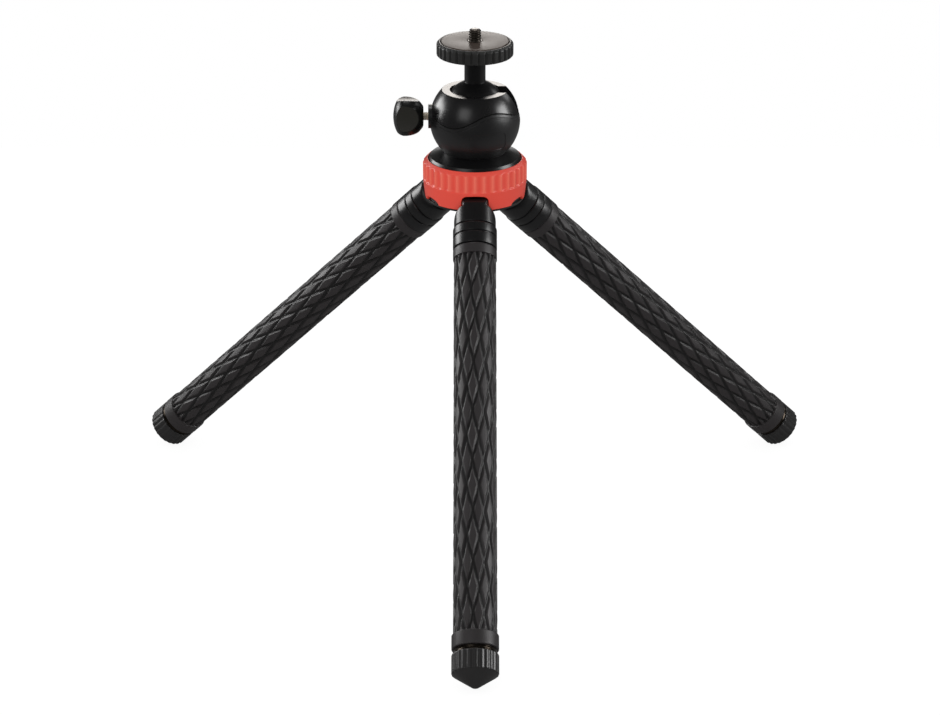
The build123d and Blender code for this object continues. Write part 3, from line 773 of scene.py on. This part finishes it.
@dataclass
class Skirt:
    """Head base: a flared skirt with softened edges, and the spigot that cups the ball's seat.

    Heights are above the ring's foot, which is at base.
    """

    base: float
    foot: float = 18.0
    radius: float = 23.2
    edge_height: float = 19.1
    shoulder_radius: float = 22.4
    shoulder_height: float = 21.0
    top_radius: float = 15.8
    top: float = 23.6
    sag: float = 0.15
    spigot_radius: float = 13.8
    spigot_rim: float = 34.9
    ball_centre: float = 45.22
    cup_radius: float = 17.1
    head_radius: float = 5.06
    head_seat: float = 20.3
    screw_radius: float = 2.56
    softness: float = 0.1
    steps: int = 14
    columns: int = 224

    def build(self) -> None:
        """Makes the skirt.

        Its section is a bore with the screw's seat, the cup's circle r = sqrt(C^2 - (h - ball)^2), the
        spigot, and the skirt's top, which sags below the straight line by a parabola sag 4 t (1 - t).
        """
        soft = self.softness
        share = np.linspace(0, 1, self.steps)[1:-1]
        across = self.shoulder_radius + share * (self.top_radius - self.shoulder_radius)
        rise = self.shoulder_height + share * (self.top - self.shoulder_height)
        cove = np.stack([across, rise - self.sag * 4 * share * (1 - share), 0 * share + soft], -1)
        low = self.ball_centre - np.sqrt(self.cup_radius**2 - self.head_radius**2)
        height = np.linspace(self.spigot_rim, low, self.steps)
        bowl = np.sqrt(self.cup_radius**2 - (height - self.ball_centre) ** 2)
        cup = np.stack([bowl, height, 0 * height + soft], -1)
        corners = [
            (self.screw_radius, self.foot, soft), (self.radius, self.foot, 0.1),
            (self.radius, self.edge_height, 0.2), (self.shoulder_radius, self.shoulder_height, 0.3), *cove,
            (self.top_radius, self.top, soft), (self.spigot_radius, self.top, soft),
            (self.spigot_radius, self.spigot_rim, soft), *cup, (self.head_radius, self.head_seat, soft),
            (self.screw_radius, self.head_seat, soft)
        ]
        axes = Axes(np.array([0, 0, self.base]), *np.eye(3))
        surface = revolved(rounded(corners), self.columns, axes)
        skirt = Skin(surface, loop=True).write("head_skirt", sharp=40)
        settle(skirt, BLACK_SATIN, "gloss_black", "head", "head_base")
        LOG.info("head: skirt and spigot")


@dataclass
class Housing:
    """What the housing's solids can't show: the dark gap along the wavy parting line, drawn as a painted
    shadow.

    The line's ends are shares of the radius, left and right of the axis.
    """

    base: float
    height: float = 39.62
    radius: float = 22.5
    rise: float = 4.9
    wave: float = 3.6
    half_wave: float = 21.5
    offset: float = 1.2
    line_ends: tuple[float, float] = (-0.925, 0.93)
    seam_depth: float = 0.12
    seam_radius: float = 0.3
    rows: int = 120
    columns: int = 12

    def build(self) -> None:
        """Makes the seam: a thin black bead in the groove, on the front and on the back, that paints the
        gap's shadow.

        The line is the one that the solids are cut along, rise + wave sin(pi (x + offset) / half_wave)
        above the housing's centre, carried onto the sphere.
        """
        centre = np.array([0, 0, self.base + self.height])
        for name, side in (("seam_front", -1), ("seam_back", 1)):
            x = np.linspace(*self.line_ends, self.rows) * self.radius
            z = self.rise + self.wave * np.sin(np.pi * (x + self.offset) / self.half_wave)
            y = side * np.sqrt(np.maximum((self.radius - self.seam_depth) ** 2 - x**2 - z**2, 0))
            line = np.stack([x, y, z], -1)
            outward = line / np.linalg.norm(line, axis=1, keepdims=True)
            along = np.gradient(line, axis=0)
            along /= np.linalg.norm(along, axis=1, keepdims=True)
            across = np.cross(along, outward)
            turn = circle(self.columns)[None, :, None]
            bead = np.cos(turn) * outward[:, None] - np.sin(turn) * across[:, None]
            seam = Skin(line[:, None] + self.seam_radius * bead + centre).write(name)
            settle(seam, GAP_SHADOW, "gloss_black", "head")
        LOG.info("head: parting seam")


@dataclass
class Leg:
    """A leg: knuckle and collar, the bendable sleeve and core, the ferrule and the knurled foot.

    Starts and ends are distances down the leg from its hinge pin.

    Attributes:
        number: Which leg, from 1 at the front.
        axes: Origin on the hinge pin, z down the leg and x square to it, outwards.
        bends: Distances of the bends from the pin.
        creep: Where a diamond's middle stands round the leg, as (distance, degrees) pairs. The sleeves
            were pushed on with a twist, so the relief creeps round.
        side_start: Where the tongue's straight sides start, and side_depth how deep they are there, as
            shares of tongue_end.
        knuckle_rim: How far before the knuckle's end its edge is cut, and by how much.
    """

    number: int
    axes: Axes
    bends: Array
    creep: tuple[tuple[float, float], ...]
    tongue_end: float = 8.0
    tongue_half: float = 6.6
    tongue_shoulder: float = 9.0
    side_start: float = 0.5
    side_depth: float = 0.94
    shoulder_start: float = 10.0
    shoulder_end: float = 15.5
    knuckle_end: float = 19.0
    knuckle_radius: float = 10.9
    knuckle_power: float = 14.0
    knuckle_rim: tuple[tuple[float, float], ...] = ((0.4, 0), (0.25, 0.04), (0.08, 0.2), (0, 0.45))
    columns: int = 192
    collar_gap: float = 0.2
    collar_bore: float = 7.0
    collar_groove: float = 5.1
    collar_depth: float = 0.6
    collar_half: float = 0.45
    start: float = 30.65
    relief_start: float = 36.1
    diamond_middle: float = 107.5
    half_pitch: float = 12.85
    starts: int = 11
    lines: int = 16
    groove_depth: float = 0.9
    groove_lines: int = 3
    flatness: float = 0.45
    band_radius: float = 10.85
    sleeve_radius: float = 10.5
    end_band_radius: float = 11.2
    end: float = 238.3
    relief_end: float = 231.3
    bore: float = 3.3
    bend_share: float = 0.42
    core_radius: float = 3.0
    core_start: float = 16.0
    core_in_foot: float = 6.0
    ferrule_radius: float = 10.2
    ferrule_length: float = 2.3
    ferrule_gap: float = 0.06
    ferrule_hollow: float = 0.35
    ferrule_columns: int = 160
    knurl_length: float = 9.5
    cone_length: float = 6.8
    tip_radius: float = 1.43
    ribs: int = 24
    rib_share: float = 0.8
    rib_depth: float = 0.34
    rib_inset: float = 0.7
    rib_fade: float = 0.5
    rib_columns: int = 12
    foot_step: float = 0.6

    def build(self) -> None:
        """Makes the leg's pieces."""
        self._knuckle()
        self._collar()
        self._sleeve()
        self._core()
        self._ferrule()
        self._foot()
        LOG.info("leg %d: knuckle, collar, sleeve, core, ferrule and foot", self.number)

    def _name(self, part: str) -> str:
        """Name of one of this leg's pieces or nodes."""
        return f"leg_{self.number}_{part}"

    def _body(self, index: int) -> str:
        """Name of the body below the given number of bends."""
        return self._name(f"span_{index}") if index else f"leg_{self.number}"

    def _bend(self, piece: Piece, index: int) -> None:
        """Bakes a piece's place into its mesh. The stretch around its bend is worked out, but nothing makes
        the piece turn there.

        Args:
            piece: The piece that crosses the bend.
            index: How many bends are above it.
        """
        reach = self.bend_share * (self.bends[1] - self.bends[0])
        places = np.array([[0, 0, self.bends[index] - reach], [0, 0, self.bends[index] + reach]])
        start, end = (self.axes.place(places) * MM).tolist()
        self._body(index)
        self._body(index + 1)
        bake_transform(piece)

    def _knuckle(self) -> None:
        """Knuckle: a flat tongue, round about the pin, that swells to the full round of the leg.

        At a distance s from the pin and an angle a from the outward side, the radius is the smooth
        minimum of three: the leg's radius, the tongue's half thickness over |sin a| and its half depth
        over |cos a|. The depth follows a circle about the pin, then a straight side. The thickness
        follows a quarter of an ellipse over the shoulder. The last rows round the end's edge.
        """
        tongue, full, nose_rows, side_rows = self.tongue_end, self.knuckle_radius, 24, 70
        before_end, cut = np.array(self.knuckle_rim).T
        rim = self.knuckle_end - before_end
        nose = -tongue * np.cos(np.linspace(0.02, np.pi / 2, nose_rows))
        along = np.concatenate([nose, np.linspace(0, rim[0], side_rows)[1:], rim[1:]])
        straight = tongue * self.side_start
        side = np.interp(along, [straight, self.tongue_shoulder], [tongue * self.side_depth, full])
        depth = np.where(along < straight, np.sqrt(np.maximum(tongue**2 - along**2, 0.01)), side)
        share = np.clip((self.shoulder_end - along) / (self.shoulder_end - self.shoulder_start), 0, 1)
        thick = self.tongue_half + (full - self.tongue_half) * np.sqrt(1 - share**2)
        barrel = full - np.interp(along, rim, cut)
        angle = (np.arange(self.columns) + 0.5) * TURN / self.columns
        thick, depth = thick[:, None] / np.abs(np.sin(angle)), depth[:, None] / np.abs(np.cos(angle))
        power = -self.knuckle_power
        radius = (thick**power + depth**power + barrel[:, None] ** power) ** (1 / power)
        points = self.axes.place(polar(radius, angle, along[:, None]))
        knuckle = Skin(points).write(self._name("casting"), sharp=60)
        settle(knuckle, BLACK_TUMBLED, "gloss_black", self._body(0), self._name("knuckle"))

    def _collar(self) -> None:
        """Collar: a ring with rounded edges and a turned groove."""
        low, high = self.knuckle_end + self.collar_gap, self.start - self.collar_gap
        wall, full, half = self.collar_bore, self.knuckle_radius, self.collar_half
        groove, deep = low + self.collar_groove, full - self.collar_depth
        corners = [
            (wall, low, 0.1), (full, low, 0.7), (full, groove - half, 0.3), (deep, groove - half / 2, 0.1),
            (deep, groove + half / 2, 0.1), (full, groove + half, 0.9), (full, high, 0.4), (wall, high, 0.1)
        ]
        surface = revolved(rounded(corners, 6), self.columns, self.axes)
        collar = Skin(surface, loop=True).write(self._name("ring"))
        settle(collar, BLACK_TUMBLED, "gloss_black", self._body(0), self._name("collar"))

    def _relief(self) -> tuple[Array, ...]:
        """The whole relief, on lines that follow its grooves.

        Grooves run round the leg both ways, `starts` of them each way, and cross every half pitch. Row i
        is i / lines of a half pitch down the leg. Column j stands at the angle (2 j + i) steps, a step
        being pi / (starts lines), so columns follow one hand of grooves, and the falling diagonals of the
        squares follow the other. A groove's depth fades over groove_lines lines on each side of it. The
        diamond between grooves is flattened towards R cos(e) / cos(a), for an angle a from its middle and
        e at its edge.

        Returns:
            Distance from the pin of each row, then radius, angle and share of the groove's depth at each
            row and column.
        """
        lines, line_pitch = self.lines, self.half_pitch / self.lines
        before = round((self.diamond_middle - self.relief_start) / line_pitch)
        after = round((self.relief_end - self.diamond_middle) / line_pitch)
        row = np.arange(-before, after + 1)[:, None]
        column = np.arange(self.starts * lines)[None, :]
        step = np.pi / (self.starts * lines)
        first, second = column % lines + 0 * row, (column + row) % lines
        to_groove = np.minimum(np.minimum(first, lines - first), np.minimum(second, lines - second))
        groove = np.clip(1 - to_groove / self.groove_lines, 0, 1)
        groove = groove * (1.5 - 0.5 * groove**2)
        edge = (lines - 2 * self.groove_lines) * step
        off = (first + second - lines) * step
        flat = np.minimum(1, 1 - self.flatness * (1 - np.cos(edge) / np.cos(off)))
        along = self.diamond_middle + row[:, 0] * self.half_pitch / lines
        middle = np.polynomial.Polynomial.fit(*np.array(self.creep).T, 3)(along)
        radius = self.sleeve_radius * flat - self.groove_depth * groove
        angle = (2 * column + row - lines) * step + np.radians(middle)[:, None]
        return along, radius, angle, groove

    def _sleeve(self) -> None:
        """Sleeve: the smooth band, the relief and the end band, cut into one piece for each bend.

        A normal is the cross product of the surface's steps round and along it, so no cut shows.
        """
        along, radius, angle, groove = self._relief()
        full, low, high = self.band_radius, self.start, self.relief_start
        band = np.array(
            [
                (self.bore, low), (full - 0.9, low), (full - 0.45, low + 0.15), (full - 0.15, low + 0.5),
                (full, low + 1.1), (full, high - 0.35), (full - 0.08, high - 0.1),
                (full - 0.35, high - 0.02)
            ]
        )
        full, low, high = self.end_band_radius, along[-1], self.end
        cuff = np.array(
            [
                (full - 0.3, low + 0.03), (full - 0.08, low + 0.12), (full, low + 0.35), (full, high - 0.5),
                (full - 0.15, high - 0.15), (full - 0.5, high), (self.bore, high)
            ]
        )
        plain = np.ones(radius.shape[1])
        ends = ((len(band), len(cuff)), (0, 0))
        radius = np.concatenate([band[:, :1] * plain, radius, cuff[:, :1] * plain])
        groove, angle = np.pad(groove, ends), np.pad(angle, ends, mode="edge")
        along = np.concatenate([band[:, 1], along, cuff[:, 1]])
        outer = self.axes.place(polar(radius, angle, along[:, None]))
        normals = np.cross(np.roll(outer, -1, 1) - np.roll(outer, 1, 1), np.gradient(outer, axis=0))
        normals /= np.maximum(np.linalg.norm(normals, axis=-1, keepdims=True), 1e-9)
        edges = self.bends[:-1] + np.diff(self.bends) / 2
        cuts = [0, *np.searchsorted(along, edges).tolist(), len(along) - 1]
        for index, (top, bottom) in enumerate(zip(cuts[:-1], cuts[1:])):
            part = slice(top, bottom + 1)
            self._stretch(index, outer[part], angle[part], normals[part], groove[part])

    def _stretch(self, index: int, outer: Array, angle: Array, normals: Array, groove: Array) -> None:
        """One piece of the sleeve: its outer surface, and its bore joined to it by flat ends.

        Args:
            index: How many bends are above the one that it crosses.
            outer: (rows, columns, 3) points of its outer surface.
            angle: Angle of each point round the leg.
            normals: Normal at each point.
            groove: Share of the groove's depth at each point.
        """
        heights = (outer[[0, -1]].mean(1) - self.axes.origin) @ self.axes.z
        bore = [self.axes.place(polar(self.bore + 0 * angle[k], angle[k], heights[k])) for k in (-1, 0)]
        points = np.concatenate([outer, np.stack(bore)])
        piece = Skin(points, loop=True, slant=True).write(self._name(f"rubber_{index + 1}"), sharp=180)
        # The groove share also gives the grooves the rubber's darker colour: painted shade
        mark_grooves(piece.data, groove)
        inner = np.zeros((len(piece.data.vertices) - groove.size, 3))
        piece.data.normals_split_custom_set_from_vertices(np.concatenate([normals.reshape(-1, 3), inner]))
        dress(piece, BLACK_RUBBER)
        self._bend(piece, index)
        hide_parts(*(self._name(f"sleeve_{k}") for k in ((index + 1,) if index else (1, 0))))

    def _core(self) -> None:
        """Core: the soft rod inside, in one piece for each bend, so that it stays inside the sleeve."""
        rows, columns, foot_end = 14, 32, self.end + self.ferrule_length + self.core_in_foot
        edges = [self.core_start, *(self.bends[:-1] + np.diff(self.bends) / 2), foot_end]
        for index, (low, high) in enumerate(zip(edges[:-1], edges[1:])):
            profile = np.stack([np.full(rows, self.core_radius), np.linspace(low, high, rows)], -1)
            rod = Skin(revolved(profile, columns, self.axes)).write(self._name(f"rod_{index + 1}"))
            dress(rod, SOFT_ALUMINIUM)
            self._bend(rod, index)
            if index == 0:
                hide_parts(self._name("core"))

    def _ferrule(self) -> None:
        """Ferrule: a polished ring, hollowed between two thin lips."""
        low, high = self.end + self.ferrule_gap, self.end + self.ferrule_length - self.ferrule_gap
        wall, full, hollow = self.core_radius + 0.1, self.ferrule_radius, self.ferrule_hollow
        corners = [
            (wall, low, 0.1), (full, low, 0.15), (full, low + hollow, 0.2),
            (full - hollow, (low + high) / 2, 0.8), (full, high - hollow, 0.2), (full, high, 0.15),
            (wall, high, 0.1)
        ]
        surface = revolved(rounded(corners), self.ferrule_columns, self.axes)
        ring = Skin(surface, loop=True).write(self._name("bronze_ring"))
        settle(ring, BRONZE, "bronze_ferrule", self._body(len(self.bends)), self._name("ferrule"))

    def _foot(self) -> None:
        """Foot: upright flutes under a plain edge, then a blunt cone.

        The flutes take a raised cosine off the radius, over rib_share of their spacing. Their depth
        grows over rib_fade of the radius, from rib_inset below the full one, so they end on the cone.
        """
        start, full = self.end + self.ferrule_length, self.end_band_radius
        knurl_end = start + self.knurl_length
        tip = knurl_end + self.cone_length
        corners = [
            (0, start, 0), (full, start, 0.5), (full, knurl_end, 0.6), (self.tip_radius, tip - 0.25, 2.2),
            (0, tip, 0)
        ]
        profile = divided(rounded(corners, 6, closed=False), self.foot_step)
        columns = self.ribs * self.rib_columns
        outside = np.clip((profile[:, :1] - full + self.rib_inset) / self.rib_fade, 0, 1)
        swell = -self.rib_depth * outside * flutes(self.ribs, columns, self.rib_share)
        foot = Skin(revolved(profile, columns, self.axes, swell)).write(self._name("rubber_foot"), sharp=40)
        settle(foot, FOOT_RUBBER, "satin_black", self._body(len(self.bends)), self._name("foot"))


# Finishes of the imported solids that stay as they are, by node
SOLIDS = (
    (BLACK_BLASTED, ("hub_core", "housing_body")), (BLACK_POLISHED, ("housing_cover",)),
    (BLACK_NYLON, ("hub_cap",)), (BLACK_SATIN, ("ball_stem",)),
    (STEEL, ("hub_screws", "hinge_pins", "pan_screw", "platform_bolt")),
    (BRASS, ("ball_retainer", "clamp_bush")),
    (NATURAL_NYLON, ("pan_washer", "ball_seat", "platform_washer", "brake_pad"))
)


def dress_solids(nodes: dict[str, Piece]) -> None:
    """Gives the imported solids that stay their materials.

    Args:
        nodes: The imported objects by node.
    """
    for finish, names in SOLIDS:
        for name in names:
            nodes[name].data.materials.clear()
            nodes[name].data.materials.append(finish.material())
    LOG.info("finishes on the packed solids")


@dataclass(frozen=True)
class Softbox:
    """A rectangular soft light aimed at the tripod.

    Attributes:
        azimuth: Degrees from the camera's side, turning to the right.
        elevation: Degrees above the tripod's middle.
        size: Width and height.
        radiance: Brightness of its face, where 1 is paper white.
        fills: It lights dull surfaces too. The others only show in reflections.
    """

    name: str
    azimuth: float
    elevation: float
    distance: float
    size: tuple[float, float]
    radiance: float
    fills: bool = False
    colour: str = "#FFFFFF"

    def build(self, target: Vector) -> None:
        """Makes the lamp. Its power is radiance times pi times its area.

        Args:
            target: The point that it faces, in metres.
        """
        lamp = bpy.data.lights.new(self.name, "AREA")
        lamp.shape = "RECTANGLE"
        lamp.size, lamp.size_y = self.size
        lamp.energy = self.radiance * float(np.pi) * self.size[0] * self.size[1]
        lamp.color = linear(self.colour)[:3]
        a, e = np.radians(self.azimuth), np.radians(self.elevation)
        away = Vector((np.sin(a) * np.cos(e), -np.cos(a) * np.cos(e), np.sin(e)))
        holder = bpy.data.objects.new(self.name, lamp)
        holder.location = target + away * self.distance
        holder.rotation_euler = away.to_track_quat("Z", "Y").to_euler()
        holder.visible_diffuse = self.fills
        bpy.context.scene.collection.objects.link(holder)


@dataclass
class Studio:
    """Plain pale floor, soft lights and the camera.

    Attributes:
        tilt: Degrees that the camera looks down.
        ring_height: Height of the place in the hub's ring that the camera faces, before its shifts.
        room_glow: Brightness of the dark room in reflections.
        fill_light: Brightness of the even light on dull surfaces.
        backdrop_edge: Y part of a mirrored ray's direction where the backdrop starts and is full.
        floor_glow: Brightness of the paper as it is seen, and as it is mirrored.
        paper: Colour of the paper as it lights the tripod.
        paper_seen: The part of its colour, where it is seen, that takes light and shadow.
    """

    floor_height: float
    lens: float = 124.07
    tilt: float = 22.22
    distance: float = 1.6213
    shift_right: float = -0.00245
    shift_up: float = -0.09346
    ring_height: float = -0.0677
    room_glow: float = 0.05
    fill_light: float = 1.0
    softboxes: tuple[Softbox, ...] = (
        Softbox("left softbox", -115.0, 14.0, 1.1, (0.66, 0.4), 8.0),
        Softbox("right softbox", 84.0, 21.0, 1.1, (0.5, 0.5), 8.0),
        Softbox("right rim softbox", 127.0, 28.0, 1.2, (0.3, 0.3), 2.5),
        Softbox("overhead softbox", 180.0, 72.0, 1.2, (0.6, 0.3), 6.0),
        Softbox("front softbox", -30.0, 30.0, 1.3, (0.6, 0.6), 1.5, True),
        Softbox("back softbox", 180.0, 19.5, 1.6, (0.3, 0.72), 4.4, True, "#FFF9F3")
    )
    backdrop_edge: tuple[float, float] = (0.97, 0.995)
    floor_glow: tuple[float, float] = (0.93, 0.09)
    paper: str = "#E6E6E6"
    paper_seen: str = "#5A5A5A"
    paper_front: float = -0.27
    paper_back: float = 0.6
    paper_side: float = 0.9

    def build(self) -> None:
        """Makes the floor, the world, the lights and the camera."""
        self._floor()
        self._world()
        target = Vector((0, 0, self.floor_height / 2))
        for softbox in self.softboxes:
            softbox.build(target)
        self._camera()
        bpy.context.scene.view_settings.view_transform = "Standard"
        LOG.info("studio: floor, %d softboxes and camera", len(self.softboxes))

    def _floor(self) -> None:
        """Floor: a sheet of white paper, shown near white wherever it is seen, with its shadows kept."""
        side, front, back = self.paper_side, self.paper_front, self.paper_back
        mesh = bpy.data.meshes.new("floor")
        corners = [(-side, front), (side, front), (side, back), (-side, back)]
        mesh.from_pydata([(*corner, self.floor_height) for corner in corners], [], [(0, 1, 2, 3)])
        floor = bpy.data.objects.new("floor", mesh)
        bpy.context.scene.collection.objects.link(floor)
        material = bpy.data.materials.new("white floor")
        tree = bare_tree(material)
        paper = add_node(tree, "BsdfDiffuse", {"Color": linear(self.paper)})
        shaded = add_node(tree, "BsdfDiffuse", {"Color": linear(self.paper_seen)})
        mirrored = add_node(tree, "LightPath").outputs["Is Glossy Ray"]
        bright, dim = self.floor_glow
        strength = add_node(tree, "MapRange", {"Value": mirrored, "To Min": bright, "To Max": dim})
        glow = add_node(tree, "Emission", {"Color": linear("#FFFFFF"), "Strength": strength.outputs[0]})
        seen = add_node(tree, "AddShader", {0: shaded.outputs[0], 1: glow.outputs[0]})
        both = add_node(tree, "MixShader", {0: self._seen(tree), 1: paper.outputs[0], 2: seen.outputs[0]})
        add_node(tree, "OutputMaterial", {"Surface": both.outputs[0]})
        floor.data.materials.append(material)
        floor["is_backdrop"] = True

    @staticmethod
    def _seen(tree: Tree) -> Socket:
        """Tells rays that show the background: from the camera, by reflection or through glass.

        Args:
            tree: The tree to add to.

        Returns:
            A socket with 1 for such rays.
        """
        path = add_node(tree, "LightPath").outputs
        seen = path["Is Camera Ray"]
        for other in ("Is Glossy Ray", "Is Transmission Ray"):
            seen = add_node(tree, "Math", {0: seen, 1: path[other]}, operation="MAXIMUM").outputs[0]
        return seen

    def _world(self) -> None:
        """World: white where the camera or glass sees it, and a dark room with a white backdrop in metal.

        In reflections the backdrop's share grows from 0 to 1 as a ray turns straight backwards, by the Y
        part of its direction. Dull surfaces get an even light from all sides.
        """
        world = bpy.data.worlds.new("studio")
        bpy.context.scene.world = world
        tree = bare_tree(world)
        direction = add_node(tree, "SeparateXYZ", {0: add_node(tree, "TexCoord").outputs["Generated"]})
        low, high = self.backdrop_edge
        edge = {"Value": direction.outputs[1], "From Min": low, "From Max": high, "To Min": self.room_glow}
        backdrop = add_node(tree, "MapRange", edge, interpolation_type="SMOOTHSTEP").outputs[0]
        mirrored = {0: add_node(tree, "LightPath").outputs["Is Glossy Ray"], 2: 1.0, 3: backdrop}
        shown = add_node(tree, "Mix", mirrored, data_type="FLOAT").outputs[0]
        lit = add_node(tree, "Mix", {0: self._seen(tree), 2: self.fill_light, 3: shown}, data_type="FLOAT")
        glow = add_node(tree, "Background", {"Color": linear("#FFFFFF"), "Strength": lit.outputs[0]})
        add_node(tree, "OutputWorld", {"Surface": glow.outputs[0]})

    def _camera(self) -> None:
        """Camera: looks down by tilt from distance, with its axis a little off the hub's ring."""
        tilt = np.radians(self.tilt)
        back, up = Vector((0, -np.cos(tilt), np.sin(tilt))), Vector((0, np.sin(tilt), np.cos(tilt)))
        camera = bpy.data.cameras.new("camera")
        camera.lens, camera.sensor_width = self.lens, 36.0
        camera.clip_start, camera.clip_end = 0.1, 50.0
        holder = bpy.data.objects.new("camera", camera)
        place = Vector((self.shift_right, 0, self.ring_height)) + back * self.distance + up * self.shift_up
        axes = Matrix((Vector((1, 0, 0)), up, back)).transposed()
        holder.matrix_world = Matrix.Translation(place) @ axes.to_4x4()
        bpy.context.scene.collection.objects.link(holder)
        bpy.context.scene.camera = holder


# Where a diamond's middle stands at distances down the legs, read from the photograph: a leg's zero
# faces outwards, and degrees run anticlockwise seen from its foot
CREEP = (
    ((36, -14.7), (45, -8.7), (70, -1.7), (95, 6.3), (120, 7.3), (160, 7.3), (235, 7.3)),
    ((36, 37.7), (59, 52.7), (84, 69.0), (108, 86.5), (134, 98.0), (161, 106.7), (186, 114.2), (235, 126)),
    (
        (36, -123), (56, -114.4), (82, -103.2), (107, -93.2), (119, -88.1), (143, -81.8), (168, -76.8),
        (235, -66)
    )
)


def leg_axes(joints: dict[str, dict], number: int) -> tuple[Axes, Array]:
    """Reads a leg's place from the frame's joints.

    Args:
        joints: The joints by name.
        number: Which leg.

    Returns:
        Its axes, with z down the leg from its pin, and the distances of its bends from the pin.
    """
    fold = joints[f"leg_{number}_fold"]
    pin, side = vector(fold["pos_m"]), np.array(fold["axis"], float)
    count = sum(name.startswith(f"leg_{number}_bend_") for name in joints)
    places = np.array([vector(joints[f"leg_{number}_bend_{k + 1}"]["pos_m"]) for k in range(count)])
    down = (places[-1] - pin) / np.linalg.norm(places[-1] - pin)
    return Axes(pin, np.cross(down, side), -side, down), np.linalg.norm(places - pin, axis=1)


def main() -> None:
    """Builds the tripod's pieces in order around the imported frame."""
    logging.basicConfig(level=logging.INFO, format="%(name)s: %(message)s")
    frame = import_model()
    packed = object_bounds()
    joints = {joint["name"]: joint for joint in frame["joints"]}
    ring_foot = float(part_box("hub_ring")[0].z / MM)
    Platform().build()
    Knob(height=float(vector(joints["clamp_turn"]["pos_m"])[2])).build()
    Ring(ring_foot).build()
    Skirt(ring_foot).build()
    Housing(ring_foot).build()
    for number, creep in enumerate(CREEP, 1):
        axes, bends = leg_axes(joints, number)
        Leg(number, axes, bends, creep).build()
    dress_solids(frame["nodes"])
    Studio(packed[0].z).build()


if __name__ == "__main__":
    main()
